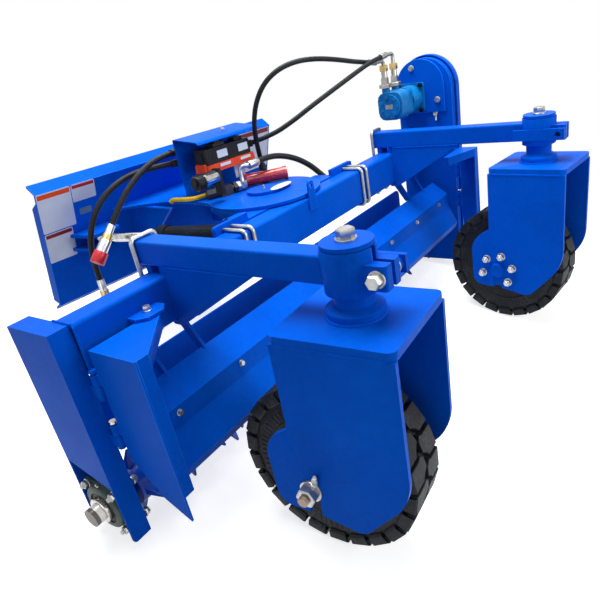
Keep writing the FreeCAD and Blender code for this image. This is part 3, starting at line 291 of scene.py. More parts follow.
def spline_points(name, points):
    """Points along the route's smooth line, to build a mesh tube on."""
    drawn = hose_curve(name + "_line", points, 0)
    bpy.context.view_layer.update()
    measured = bpy.data.meshes.new_from_object(drawn)
    found = [vertex.co.copy() for vertex in measured.vertices]
    bpy.data.objects.remove(drawn)
    bpy.data.meshes.remove(measured)
    return found


def turns(count, shift=0.0):
    """Evenly spaced angles round a circle."""
    return [2 * math.pi * step / count + shift for step in range(count)]


def polar(radius, angle):
    return radius * math.cos(angle), radius * math.sin(angle)


def ring_faces(rings, sides, start=0):
    """Faces that join each ring of vertices to the next."""
    faces = []
    for ring in range(rings - 1):
        low, high = start + ring * sides, start + (ring + 1) * sides
        for step in range(sides):
            nearby = (step + 1) % sides
            faces.append((low + step, low + nearby, high + nearby, high + step))
    return faces


def tube_rings(points, radii, sides):
    """Vertices and faces of a closed tube, its rings turned as little as they can be on the way."""
    vertices = []
    side = None
    for count, point in enumerate(points):
        ahead = points[min(count + 1, len(points) - 1)] - points[max(count - 1, 0)]
        ahead.normalize()
        side = side or ahead.orthogonal()
        side = (side - ahead * side.dot(ahead)).normalized()
        across = ahead.cross(side)
        radius = radii[count] if isinstance(radii, list) else radii
        for angle in turns(sides):
            vertices.append(point + (side * math.cos(angle) + across * math.sin(angle)) * radius)
    faces = ring_faces(len(points), sides)
    faces.append(tuple(reversed(range(sides))))
    faces.append(tuple(range(len(vertices) - sides, len(vertices))))
    return vertices, faces


def mesh_piece(name, vertices, faces, finishes, slots=None, smooth=40):
    """A piece from plain vertices and faces, its slots one number a face."""
    mesh = bpy.data.meshes.new(name)
    mesh.from_pydata([tuple(vertex) for vertex in vertices], [], faces)
    for finish in finishes:
        mesh.materials.append(finish)
    if slots:
        mesh.polygons.foreach_set("material_index", slots)
    tidy = bmesh.new()
    tidy.from_mesh(mesh)
    bmesh.ops.remove_doubles(tidy, verts=tidy.verts, dist=0.00001)
    bmesh.ops.recalc_face_normals(tidy, faces=tidy.faces)
    tidy.to_mesh(mesh)
    tidy.free()
    mesh.shade_smooth()
    mesh.set_sharp_from_angle(angle=math.radians(smooth))
    return link(bpy.data.objects.new(name, mesh))


def free_hose(name, thick, body, crossing=None, ripple=0.0):
    """One hose. Where it crosses the swing joint it is a mesh tube, baked in place and attached to no body.
    """
    points = HOSE_ROUTES[name]
    path = None
    if crossing or ripple:
        path = spline_points(name, points)
        sizes = [thick / 2 * (1 + ripple * math.sin(count * 1.5)) for count in range(len(path))]
        finish = wrap_yellow if ripple else hose_rubber
        made = mesh_piece(name + "_cover", *tube_rings(path, sizes, 20), [finish])
    else:
        made = hose_curve(name + "_cover", points, thick)
        made.data.materials.append(hose_rubber)
    if name in NODES:
        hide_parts(name)
    if crossing:
        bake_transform(made)
    else:
        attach(made, body)
    return made


free_hose("motor_hose_upper", 0.018, "hitch", crossing=((0.60, 0.08, 0.98), (0.21, 0.20, 0.98)))
free_hose("motor_hose_lower", 0.018, "hitch", crossing=((0.64, 0.06, 0.98), (0.20, 0.24, 0.98)))
free_hose("valve_hose", 0.022, "hitch", crossing=((0.295, 0.14, 0.66), (0.12, 0.27, 0.66)))
free_hose("supply_hose_upper", 0.020, "hitch")
free_hose("supply_hose_lower", 0.020, "hitch")
free_hose("wire_wrap", 0.015, "hitch", ripple=0.05)

# -------------------- cross beam and end plates
# The beam is a welded square tube with folded end plates, sprayed royal blue in one coat. The enamel
# is glossy with a fine orange peel. Its rounded edges take a paler blue: partly thin, worn paint, partly a
# painted highlight along the cut and folded edges.


def enamel(name, deep, bright, gloss=0.36, dust=0.10, shine=0.022):
    made, tree = new_material(name)
    cloud = noise(tree, 3.1)
    fine = noise(tree, 60, 5)
    colour = (cloud * 0.7 + fine * 0.3).ramp(0.3, 0.7).between(deep, bright)
    powder = (noise(tree, 7, 6) * noise(tree, 150, 2)).ramp(0.27, 0.5) * dust
    colour = powder.between(colour, (0.05, 0.20, 0.60, 1))
    rough = noise(tree, 22, 4) * 0.16 + (gloss - 0.08) + powder * 0.6
    peel = tree.node("Bump", {}, {"Strength": 0.12, "Distance": 0.0005, "Height": noise(tree, 380, 1)})
    return principled(made, tree, {
        "Base Color": colour, "Roughness": rough, "Normal": peel,
        "Specular IOR Level": shine, "Specular Tint": (0.15, 0.5, 1, 1)})


frame_blue = enamel("frame_blue", (0.0006, 0.068, 0.48, 1), (0.0008, 0.105, 0.66, 1))
# Paler blue for the bevel strips on every edge: partly worn thin paint, partly a painted highlight.
edge_wear_and_highlight_blue = enamel("edge_wear_and_highlight_blue", (0.001, 0.12, 0.75, 1), (0.008, 0.20, 0.90, 1), dust=0.3, shine=0.12)


def dress(names, finish, edge_width=0.0014, edge=None):
    """Give CAD nodes their finish, and round their edges by a welded-up bevel."""
    for name in names:
        node = NODES[name]
        node.data.materials.clear()
        node.data.materials.append(finish)
        node.data.materials.append(edge or finish)
        if edge_width:
            weld = node.modifiers.new("joined", "WELD")
            weld.merge_threshold = 0.00001
            round_off = node.modifiers.new("rounded", "BEVEL")
            round_off.width = edge_width
            round_off.segments = 2
            round_off.limit_method = "ANGLE"
            round_off.angle_limit = math.radians(32)
            round_off.harden_normals = True
            round_off.material = 1


dress(["main_beam", "end_housing_left", "rear_shield", "deflector", "deflector_struts"], frame_blue,
      edge=edge_wear_and_highlight_blue)
MM = Matrix.Scale(0.001, 4)
MACHINE = STANCE @ MM


def moved(part, place):
    vertices, faces = part
    return [place @ Vector(vertex) for vertex in vertices], faces


def turned(profile, sides=24):
    """Revolve (radius, height) points about +Z. A radius of 0 closes the end."""
    vertices = []
    for radius, height in profile:
        for angle in turns(sides):
            vertices.append(Vector((*polar(radius, angle), height)))
    return vertices, ring_faces(len(profile), sides)


def extruded(outline, low, high, inset=0.0):
    """An outline of (x, y) corners between two heights, its top drawn in a little."""
    count = len(outline)
    middle = sum((Vector(corner) for corner in outline), Vector((0, 0))) / count
    vertices = [Vector((*corner, low)) for corner in outline]
    for corner in outline:
        drawn_in = Vector(corner) - (Vector(corner) - middle).normalized() * inset
        vertices.append(Vector((*drawn_in, high)))
    faces = [tuple(reversed(range(count))), tuple(range(count, 2 * count))]
    return vertices, faces + ring_faces(2, count)


def slab(left, near, right, far, low, high, inset=0.0):
    """A flat bar or block between four sides and two heights."""
    return extruded([(left, near), (right, near), (right, far), (left, far)], low, high, inset)


def along(point, way):
    """A frame at a point whose +Z runs the given way."""
    return Matrix.Translation(point) @ Vector(way).to_track_quat("Z", "Y").to_matrix().to_4x4()


def assembled(name, parts, finishes, body, place=MACHINE, smooth=35):
    """One piece from several parts in millimetres. Each part is (vertices, faces) or that and a slot."""
    vertices = []
    faces = []
    slots = []
    for part in parts:
        start = len(vertices)
        vertices += [place @ Vector(vertex) for vertex in part[0]]
        faces += [tuple(start + corner for corner in face) for face in part[1]]
        slots += [part[2] if len(part) > 2 else 0] * len(part[1])
    made = mesh_piece(name, vertices, faces, finishes, slots, smooth)
    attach(made, body)
    return made


def bead(points, radius=3.2):
    """A fillet weld along a line, in millimetres: overlapping ripples, a little uneven."""
    path = []
    sizes = []
    for start, end in zip(points, points[1:]):
        start, end = Vector(start), Vector(end)
        steps = max(2, int((end - start).length / 2.4))
        for step in range(steps):
            path.append(start.lerp(end, step / steps))
    path.append(Vector(points[-1]))
    for count in range(len(path)):
        swell = 0.16 * math.sin(count * 1.9) + 0.08 * math.sin(count * 0.37 + radius)
        sizes.append(radius * (0.5 if count in (0, len(path) - 1) else 1 + swell))
    return tube_rings(path, sizes, 7)


HALF = 942
welds = [bead([(-HALF, 78, 620), (-HALF, 78, 500)]), bead([(-31, 0, 584), (14, 0, 584)], 4),
         bead([(-30, -1, 584), (-28, -1, 622)], 4), bead([(14, -1, 584), (12, -1, 622)], 4)]
for end in (-HALF, HALF):
    welds += [bead([(end, -2, 620), (end, -2, 500)]), bead([(end, 2, 625), (end, 74, 625)])]
for strut in (-785, -650, 650, 785):
    for side in (-5, 5):
        welds.append(bead([(strut + side, 2, 496), (strut + side, 38, 496)], 2.4))
        welds.append(bead([(strut + side, -22, 407), (strut + side, -36, 412)], 2.2))
assembled("beam_welds", welds, [frame_blue], "frame")


def plated(name, tint, rough, streak=(0.62, 0.58, 0.42, 1)):
    """Zinc-plated or turned steel: bright, a little cloudy, with faint yellow patches."""
    made, tree = new_material(name)
    cloud = noise(tree, 45, 4).ramp(0.35, 0.65)
    warm = noise(tree, 120, 2).ramp(0.4, 0.7)
    colour = cloud.between(tint, toned(tint, 0.72))
    colour = (warm * 0.35).between(colour, streak)
    haze = noise(tree, 260, 3) * 0.2 + (rough - 0.1)
    grain = tree.node("Bump", {}, {"Strength": 0.15, "Distance": 0.0003, "Height": noise(tree, 900, 2)})
    return principled(made, tree, {
        "Base Color": colour, "Roughness": haze, "Metallic": 1.0, "Normal": grain})


zinc = plated("zinc", (0.50, 0.52, 0.53, 1), 0.34)
black_oxide = plated("black_oxide", (0.020, 0.021, 0.024, 1), 0.36, streak=(0.03, 0.03, 0.03, 1))
bright_steel = plated("bright_steel", (0.62, 0.60, 0.57, 1), 0.24)
brass = plated("brass", (0.66, 0.46, 0.17, 1), 0.3, streak=(0.50, 0.44, 0.30, 1))


def thread(radius, length, pitch=1.9):
    """Turned grooves that read as a bolt's thread, with a chamfered end."""
    profile = [(0, 0)]
    height = 0.0
    while height < length - pitch:
        profile += [(radius, height), (radius - 0.22 * pitch * 2, height + pitch / 2)]
        height += pitch
    profile += [(radius, length - 1.2), (radius - 1.3, length), (0, length)]
    return turned(profile, 16)


def hexagonal(across, height):
    """A nut or bolt head over its flats, with the corners of its outer face turned off."""
    corner = across / math.sqrt(3)
    return turned([(0, 0), (corner * 0.97, 0), (corner, 0.8), (corner, height * 0.86),
                   (corner * 0.88, height), (0, height)], 6)


def fastener(point, way, across=19.0, washer=True, stud=0.0, head=0.62):
    """A hex head or nut on its washer, and the thread that stands out of the nut."""
    where = along(point, way)
    base = 0.14 * across if washer else 0.0
    parts = []
    if washer:
        edge = across * 0.66
        disc = turned([(0, 0), (edge, 0), (edge, base * 0.8), (edge - 0.8, base), (0, base)], 28)
        parts.append(moved(disc, where))
    parts.append(moved(hexagonal(across, across * head), where @ shift(0, 0, base)))
    if stud:
        reach = base + across * head
        parts.append(moved(thread(across * 0.32, stud), where @ shift(0, 0, reach - 0.5)))
    return parts


def rounded(width, height, radius):
    """Outline of a plate with round corners, about its middle."""
    outline = []
    for x, y, start in ((1, 1, 0), (-1, 1, 90), (-1, -1, 180), (1, -1, 270)):
        for turn in (0, 30, 60, 90):
            angle = math.radians(start + turn)
            outline.append((x * (width / 2 - radius) + radius * math.cos(angle),
                            y * (height / 2 - radius) + radius * math.sin(angle)))
    return outline


# -------------------- chain case and motor
# The case is a bent steel box with a bolted cover. The orbital motor is a cast-iron body in lighter
# blue, held by four socket screws on a plate that slides to tension the chain.
dress(["chain_case", "chain_cover", "motor_plate"], frame_blue, edge=edge_wear_and_highlight_blue)


def cast_paint(name, deep, bright, rough=0.34, tint=(0.45, 0.75, 1, 1)):
    """Paint over rough cast iron."""
    made, tree = new_material(name)
    colour = noise(tree, 30, 5).ramp(0.3, 0.7).between(deep, bright)
    lumps = noise(tree, 190, 3) + noise(tree, 700, 2) * 0.4
    cast = tree.node("Bump", {}, {"Strength": 0.55, "Distance": 0.0009, "Height": lumps})
    return principled(made, tree, {
        "Base Color": colour, "Roughness": noise(tree, 50, 3) * 0.2 + (rough - 0.1), "Normal": cast,
        "Specular IOR Level": 0.35, "Specular Tint": tint})


motor_blue = cast_paint("motor_blue", (0.0012, 0.12, 0.36, 1), (0.004, 0.20, 0.52, 1))
dress(["hydraulic_motor"], motor_blue, 0.0022)
FACE = 932
MOTOR_Y, MOTOR_Z = 40, 795
screws = []
sections = [moved(extruded(rounded(120, 120, 34), 150, 222, 5), along((FACE, MOTOR_Y, MOTOR_Z), (-1, 0, 0)))]
for y in (-1, 1):
    for z in (-1, 1):
        spot = (FACE - 16, MOTOR_Y + 52 * y, MOTOR_Z + 52 * z)
        screws.append(moved(turned([(0, 9), (5, 9), (5, 13), (8.4, 13), (9, 12.2), (9, 0), (0, 0)], 20),
                            along(spot, (-1, 0, 0))))
for angle in turns(7, math.pi / 7):
    spot = (FACE - 231, MOTOR_Y + 36 * math.cos(angle), MOTOR_Z + 36 * math.sin(angle))
    sections += fastener(spot, (-1, 0, 0), 12, washer=False, head=0.5)
assembled("motor_screws", screws, [black_oxide], "frame")
plate_bolts = fastener((921, -72, 727), (0, 0, -1), 17, stud=22)
for spot in ((931, 32, 918), (931, -81, 779)):
    plate_bolts += fastener(spot, (-1, 0, 0), 19)
assembled("motor_plate_bolts", plate_bolts, [zinc], "frame")
for depth in (17, 44, 72, 99):
    ring = turned([(56, 0), (57.2, 0.6), (57.2, 2.4), (56, 3)], 40)
    sections.append(moved(ring, along((FACE - depth, MOTOR_Y, MOTOR_Z), (-1, 0, 0))))
assembled("motor_section_joints", sections, [motor_blue], "frame")
rivet = turned([(0, 0), (1.6, 0), (1.4, 1.6), (0, 1.9)], 10)
tag = [moved(rivet, shift(x, 0, 0)) for x in (-14, 14)] + [slab(-17, -9, 17, 9, 0, 0.8, 0.6)]
assembled("motor_blank_plate", tag, [zinc], "frame",
          MACHINE @ along((FACE - 232, MOTOR_Y, MOTOR_Z), (-1, 0, 0)))


fitting_metal = plated("fitting_metal", (0.42, 0.42, 0.40, 1), 0.36, streak=(0.42, 0.36, 0.22, 1))
dress(["motor_fittings"], fitting_metal, 0.0007)
port_nuts = []
for x, y in ((800, 52), (745, 70)):
    up = shift(x, y, 867)
    port_nuts.append(moved(hexagonal(46, 15), up))
    port_nuts.append(moved(turned([(8, 39), (12.5, 40), (12.5, 62), (11, 68), (8, 68)]), up))
    port_nuts.append((*moved(hexagonal(30, 24), up @ shift(0, 0, 66)), 1))
assembled("port_nuts", port_nuts, [fitting_metal, brass], "frame")
dress(["frame_port"], zinc, 0.0007)

# -------------------- rotor and its bearing
# A rolled drum with welded teeth turns in a cast flange bearing at the left and in the chain case at
# the right. The shaft's end is bare turned steel, held by a collar with a set screw.
BARE_SHAFT_X, DIRTY_END_X = -0.921, -1.015


def rotor_finish():
    made, tree = new_material("rotor_paint")
    place = tree.node("TexCoord", {}, {}, out="Object")
    along_shaft = tree.node("SeparateXYZ", {}, {"Vector": place}, out="X")
    bare = along_shaft < BARE_SHAFT_X
    dirty_end = along_shaft < DIRTY_END_X
    paint = noise(tree, 12, 5).ramp(0.3, 0.7).between((0.001, 0.045, 0.34, 1), (0.001, 0.06, 0.46, 1))
    streaks = noise(tree, 200, 3, (1, 12, 12)).ramp(0.3, 0.7)
    steel = streaks.between((0.42, 0.41, 0.39, 1), (0.62, 0.60, 0.57, 1))
    return principled(made, tree, {
        "Base Color": dirty_end.between(bare.between(paint, steel), (0.10, 0.095, 0.09, 1)),
        "Metallic": bare * 1.0, "Roughness": noise(tree, 40, 4) * 0.2 + 0.25, "Specular IOR Level": 0.3})


dress(["rotor"], rotor_finish(), 0.001)
casting_green = cast_paint("casting_green", (0.018, 0.040, 0.035, 1), (0.030, 0.062, 0.055, 1), 0.5,
                           tint=(1, 1, 1, 1))
seal_rubber = moulded("seal_rubber", (0.008, 0.008, 0.009, 1), 0.5)
SHAFT = Vector((-942, 80, 113))
outwards = along(SHAFT, (-1, 0, 0))
casting = [extruded(rounded(132, 132, 30), 0, 28), extruded(rounded(138, 138, 26), 27, 44, 3),
           turned([(70, 42), (66, 50), (64, 57), (58, 60), (47, 60), (46, 54), (45, 54)], 48),
           (*turned([(46, 54), (45, 57), (36, 57.5), (34, 56)], 48), 1)]
bearing_bolts = [moved(turned([(0, 0), (4, 0), (4, 5), (2.4, 6), (2.4, 9), (3, 10), (2, 13), (0, 13)], 12),
                       along(SHAFT + Vector((-50, 0, 63)), (-0.5, 0, 1)))]
for y in (-55, 55):
    for z in (-55, 55):
        casting.append(moved(turned([(15, 40), (13, 47), (0, 47)], 24), shift(y, z, 0)))
        bearing_bolts += fastener(SHAFT + Vector((-47, y, z)), (-1, 0, 0), 19, stud=8)
        bearing_bolts += fastener(SHAFT + Vector((6, y, z)), (1, 0, 0), 19)
bearing = assembled("flange_bearing", casting, [casting_green, seal_rubber], "frame", MACHINE @ outwards)
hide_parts("rotor_bearing_left")
assembled("bearing_bolts", bearing_bolts, [zinc], "frame")
assembled("housing_rear_skirt", [slab(-996, 164, -942, 170, 60, 242)], [frame_blue], "frame")
inner_race = turned([(25.3, -6), (36, -6), (36, 12), (34.5, 14), (25.3, 14)], 40)
set_screw = moved(turned([(2, 0), (2, 2), (4, 2), (4, 0)], 12), along((0, 35.2, 4), (0, 1, 0)))
assembled("shaft_collar", [inner_race, set_screw], [bright_steel], "rotor",
          MACHINE @ outwards @ shift(0, 0, 58))

# -------------------- wings
# The end wings are folded plates on lift-off hinges. Pins join their knuckles, one end worn bright,
# and an ear on the beam takes the bolt that locks each wing in line or lets it fold.
dress(["wing_left", "wing_right", "wing_hinge_left", "wing_hinge_right", "wing_latches"], frame_blue,
      edge=edge_wear_and_highlight_blue)
pin_end = turned([(0, 0), (8.4, 0), (9.4, 1.4), (9.4, 5.6), (8.4, 7), (0, 7)], 20)
hinge_parts = []
WORN_END = 366
for side, y in ((-1, -11.3), (1, -153.3)):
    for level in (293, WORN_END, 433, 506):
        hinge_parts.append((*moved(pin_end, shift(side * HALF, y, level)), int(level == WORN_END)))
assembled("hinge_pin_ends", hinge_parts, [frame_blue, bright_steel], "frame")
latch_bolts = []
for side in (-1, 1):
    latch_bolts += fastener((side * (HALF - 178), -18, 574), (0, 0, 1), 17)
assembled("latch_bolts", latch_bolts, [zinc], "frame")
deflector_bolts = []
for x in (-830, -600, -300, 0, 315, 552, 793):
    deflector_bolts += fastener((x, -110.4, 344), (0, -1, 0.05), 13, head=0.5)
assembled("deflector_bolts", deflector_bolts, [zinc], "frame")

# -------------------- arms, collars and U-bolts
# Each arm is a square tube with two gusset plates, clamped to the beam by U-bolts under a plate. Its
# split collar is drawn tight on the caster's spindle by one large bolt through two ears.
dress(["arm_left", "arm_right"], frame_blue, edge=edge_wear_and_highlight_blue)
dress(["arm_u_bolts", "swivel_u_bolts"], zinc, 0.0006)
COLLARS = {"left": (-640, -530), "right": (640, -580)}


def holed(outline, centre, radius, low, high):
    """A flat bar with a round hole: (y, z) corners between two X levels."""
    middle = Vector(centre)
    ring = []
    for start, end in zip(outline, outline[1:] + outline[:1]):
        ring += [Vector(start).lerp(Vector(end), step / 8) for step in range(8)]
    vertices = []
    for x in (low, high):
        vertices += [Vector((x, *point)) for point in ring]
        vertices += [Vector((x, *(middle + (point - middle).normalized() * radius))) for point in ring]
    count = len(ring)
    faces = []
    for step in range(count):
        nearby = (step + 1) % count
        for first, second in ((0, 1), (1, 3), (3, 2), (2, 0)):
            low_ring, high_ring = first * count, second * count
            faces.append((low_ring + step, low_ring + nearby, high_ring + nearby, high_ring + step))
    return vertices, faces


arm_welds = []
clamp_parts = []
clamp_bars = []
for name, (x, y) in COLLARS.items():
    for side in (-1, 1):
        edge = x + 31.75 * side
        arm_welds.append(bead([(edge, -8, 645), (edge, -284, 645)], 2.8))
        arm_welds.append(bead([(edge, -2, 640), (edge, -2, 500)], 2.4))
        arm_welds.append(bead([(edge, y + 49, 650), (edge, y + 49, 706)], 3.2))
    arm_welds.append(bead([(x - 28, y + 50, 709.5), (x + 28, y + 50, 709.5)], 3.2))
    hole = (y - 76, 671)
    if name == "left":
        clamp_parts += fastener((x - 31.9, *hole), (-1, 0, 0), 28)
    clamp_parts += fastener((x + 31.9, *hole), (1, 0, 0), 28, stud=10 if name == "left" else 0)
    inner = x + 49 if name == "left" else x - 61
    bar = [(y + 77, 652), (y + 77, 690), (y - 98, 690), (y - 98, 652)]
    clamp_bars.append(holed(bar, hole, 9, inner, inner + 12))
    spacer = turned([(9, 0), (17, 0), (17, 20), (9, 20)])
    clamp_bars.append(moved(spacer, along((x + 30 if name == "left" else x - 50, *hole), (1, 0, 0))))
assembled("collar_clamp_bars", clamp_bars, [frame_blue], "frame")
assembled("arm_welds", arm_welds, [frame_blue], "frame")
assembled("collar_clamp_bolts", clamp_parts, [zinc], "frame")
nuts = []
for side in (-1, 1):
    left = side * 640 - 31.75 - 6.8
    for x in (left, left + 77.1):
        nuts += fastener((x, 83.5, 473.4), (0, 0, -1), 23.5, washer=False)
        nuts.append(moved(thread(6.7, 8), along((x, 83.5, 460), (0, 0, -1))))
for x in (-365, -330, 330, 365):
    for z in (630.8, 490.2):
        nuts += fastener((x, 90, z), (0, 1, 0), 21)
        nuts.append(moved(thread(6.7, 8), along((x, 102, z), (0, 1, 0))))
assembled("u_bolt_nuts", nuts, [zinc], "frame")

# -------------------- turntable
# Two thick plates turn on a greased pin. The lower one is drawn against the beam by four U-bolts, the
# upper one is welded to the quick-attach plate that the carrier picks up.
dress(["swivel_base", "swivel_pin"], frame_blue, edge=edge_wear_and_highlight_blue)
dress(["swivel_disc", "hitch_plate", "hitch_gussets", "cylinder_bracket"], frame_blue, edge=edge_wear_and_highlight_blue)
ON_HITCH = STANCE @ shift(0, 0.205, 0) @ spin(-6, "Z") @ MM
TOP = 640
SLOPE = math.tan(math.radians(19))
joint_y = 487 + (776 - 634) * SLOPE
hitch_welds = [bead([(-298, joint_y - 3, TOP), (298, joint_y - 3, TOP)], 4)]
for x in (-210, 210):
    for side in (-1, 13):
        top, foot = joint_y - 2, 487 + (776 - 425) * SLOPE
        hitch_welds.append(bead([(x + side, top, 622), (x + side, foot - 3, 424)], 3))
        hitch_welds.append(bead([(x + side, 290, 626), (x + side, top - 8, 626)], 3))
assembled("hitch_welds", hitch_welds, [frame_blue], "hitch", ON_HITCH)
nipple = turned([(0, 0), (6, 0), (6, 4), (4, 5), (4, 9), (4.6, 10), (3, 13), (0, 13)], 14)
assembled("swivel_grease_nipple", [nipple], [zinc], "frame", MACHINE @ shift(0, 205, 651))

# -------------------- blank signs
# Vinyl signs stuck on the hitch plate, the guard and the turntable, with their coloured header bars
# and nothing printed on them.


def sign_white(name, colour=(0.62, 0.68, 0.82, 1)):
    made, tree = new_material(name)
    shade = noise(tree, 25, 3).between(colour, toned(colour, 0.86))
    return principled(made, tree, {
        "Base Color": shade, "Roughness": noise(tree, 60, 2) * 0.15 + 0.3, "Specular IOR Level": 0.3})


sign_vinyl = sign_white("sign_vinyl")
header_orange = sign_white("header_orange", (0.80, 0.075, 0.006, 1))
header_red = sign_white("header_red", (0.50, 0.006, 0.010, 1))
header_dark = sign_white("header_dark", (0.22, 0.003, 0.008, 1))
grey_foil = sign_white("grey_foil", (0.12, 0.20, 0.30, 1))


def sign(name, x, drop, width, height, header, bar, body, place):
    """A sign whose top left corner lies at x and a drop down the plate. place has +X across and +Y up."""
    middle = shift(x + width / 2, -drop - height / 2, 0)
    parts = [moved(extruded(rounded(width, height, 5), 0, 0.5), middle)]
    if header:
        strip = rounded(width - 7, bar, 1.5)
        up = shift(0, height / 2 - 3.5 - bar / 2, 0.5)
        parts.append((*moved(extruded(strip, -0.2, 0.25), middle @ up), 1))
    return assembled(name, parts, [sign_vinyl, header or sign_vinyl], body, place)


tilt = math.radians(19)
across, down = Vector((1, 0, 0)), Vector((0, math.sin(tilt), -math.cos(tilt)))
outward = Vector((0, -math.cos(tilt), -math.sin(tilt)))
on_plate = Matrix((across, -down, outward)).transposed().to_4x4()
on_plate.translation = Vector((0, 487, 776)) + outward * 0.3
PLATE_FACE = ON_HITCH @ on_plate
sign("sign_orange", -571, 1, 124, 149, header_orange, 17, "hitch", PLATE_FACE)
sign("sign_small_red", -444, 1, 91, 66, header_red, 12, "hitch", PLATE_FACE)
sign("sign_dark_red", -570, 154, 105, 117, header_dark, 14, "hitch", PLATE_FACE)
sign("sign_right_end", 372, 4, 192, 190, header_dark, 20, "hitch", PLATE_FACE)
foil = sign("foil_tag", -427, 97, 48, 25, None, 0, "hitch", PLATE_FACE)
foil.data.materials[0] = grey_foil
oval = [(56 * math.cos(angle), 24 * math.sin(angle)) for angle in turns(24)]
assembled("oval_tag", [extruded(oval, 0.2, 1.4, 0.4)], [sign_vinyl], "hitch",
          ON_HITCH @ shift(37, -50, TOP + 11) @ spin(8, "Z"))

# -------------------- guard and control kit
# A folded guard shelters the swing valve's control kit: a black box on an orange-red base with its
# plugs, a chromed coil with a ribbed cap, the valve's fittings, and a red tube for papers.


def folded(path, thick, low, high):
    """A sheet bent along a path of (y, z) points with round corners, between two X levels."""
    line = [Vector(path[0])]
    for before, corner, after in zip(path, path[1:], path[2:]):
        corner = Vector(corner)
        start = corner + (Vector(before) - corner).normalized() * 9
        end = corner + (Vector(after) - corner).normalized() * 9
        for step in range(5):
            share = step / 4
            line.append(start.lerp(corner, share).lerp(corner.lerp(end, share), share))
    line.append(Vector(path[-1]))
    inner = []
    for count, point in enumerate(line):
        ahead = line[min(count + 1, len(line) - 1)] - line[max(count - 1, 0)]
        inner.append(point + Vector((-ahead.y, ahead.x)).normalized() * thick)
    outline = line + inner[::-1]
    vertices, faces = extruded([tuple(point) for point in outline], low, high)
    faces = faces[2:]
    count = len(line)
    for start in (0, len(outline)):
        for step in range(count - 1):
            near, far = start + step, start + len(outline) - 1 - step
            faces.append((near, near + 1, far - 1, far))
    return [Vector((vertex.z, vertex.x, vertex.y)) for vertex in vertices], faces


guard = assembled("guard_sheet", [
    folded([(257, TOP), (257, TOP + 219), (125, TOP + 205), (121, TOP + 196)], 4, -146, 155)],
    [frame_blue], "hitch", ON_HITCH)
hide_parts("valve_shroud")
assembled("guard_bolt", fastener((34, 190, TOP + 212.5), (0, -0.1, 1), 12), [zinc], "hitch", ON_HITCH)
box_plastic = moulded("box_plastic", (0.008, 0.009, 0.011, 1), 0.42)
dress(["control_box"], box_plastic, 0.002)
base_red = moulded("base_red", (0.62, 0.055, 0.016, 1), 0.5, dust=0.1)
white_cap = sign_white("white_cap", (0.70, 0.78, 0.82, 1))
BOX_LOW, BOX_HIGH = TOP + 104, TOP + 172
BLACK, WHITE = 1, 2
base = [(-112, 127), (106, 127), (112, 133), (112, 205), (-118, 205), (-118, 133)]
kit = [
    extruded(base, BOX_LOW - 12, BOX_LOW + 14, 2),
    slab(-124, 140, -114, 190, BOX_LOW - 4, BOX_LOW + 20, 2),
    (*slab(-119, 150, -106, 190, BOX_LOW + 14, BOX_LOW + 58, 3), BLACK),
    (*slab(-60, 150, -5, 195, BOX_HIGH - 1, BOX_HIGH + 10, 3), BLACK),
    (*slab(-44, 158, -18, 190, BOX_HIGH + 9, BOX_HIGH + 20, 2), BLACK),
    (*slab(50, 160, 92, 195, BOX_HIGH - 1, BOX_HIGH + 9, 3), BLACK),
]
front = Matrix(((1, 0, 0, 0), (0, 0, -1, 0), (0, 1, 0, 0), (0, 0, 0, 1)))
for x, z, height, y in ((-38, 42, 26, 134.6), (64, 42, 26, 134.6), (-40, 5, 10, 126.6), (60, 5, 10, 126.6)):
    cap = extruded(rounded(48 if height > 10 else 50, height, 2), 0, 0.6)
    kit.append((*moved(cap, shift(x, y, BOX_LOW + z) @ front), WHITE))
for x in range(-96, 100, 12):
    if not -66 < x < -12 and not 36 < x < 92:
        kit.append((*slab(x - 1.6, 134.2, x + 1.6, 136, BOX_LOW + 16, BOX_HIGH - 4), BLACK))
assembled("control_kit", kit, [base_red, box_plastic, white_cap], "hitch", ON_HITCH, smooth=20)
bracket = [slab(15, 150, 62, 153, BOX_LOW - 62, BOX_LOW - 8),
           slab(15, 150, 62, 200, BOX_LOW - 12, BOX_LOW - 9)]
assembled("kit_bracket", bracket, [zinc], "hitch", ON_HITCH)
chrome = plated("chrome", (0.60, 0.61, 0.63, 1), 0.16)
coil_place = MACHINE @ along((-106, 300, 728), (-1, 0, 0))
coil = [turned([(0, 22), (23, 22), (24, 24), (24, 86), (0, 86)], 40),
        (*turned([(0, 86), (24.6, 86), (25.5, 88), (25.5, 112), (22, 117), (0, 117)], 40), 1),
        (*turned([(0, 8), (9, 8), (9, 22), (0, 22)]), 1)]
solenoid = assembled("coil_body", coil, [chrome, box_plastic], "hitch", coil_place)
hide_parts("solenoid")
assembled("coil_stay", [slab(-124, 284, -108, 316, 662, 754, 2)], [box_plastic], "hitch")
ribs = []
for angle in turns(22):
    rib = extruded([(-1.8, 24), (1.8, 24), (1.3, 27.2), (-1.3, 27.2)], 86, 112)
    ribs.append(moved(rib, Matrix.Rotation(angle, 4, "Z")))
ribs.append(turned([(0, 116), (9, 116), (11, 119), (11, 124), (8, 125), (0, 125)], 20))
assembled("coil_cap_ribs", ribs, [box_plastic], "hitch", coil_place)
inner = [(24.4 * math.sin(math.radians(14 * step)), 24.4 * math.cos(math.radians(14 * step)))
         for step in range(-3, 4)]
outer = [(x * 1.015, y * 1.015) for x, y in reversed(inner)]
assembled("coil_label", [extruded(inner + outer, 30, 74)], [box_plastic], "hitch", coil_place)


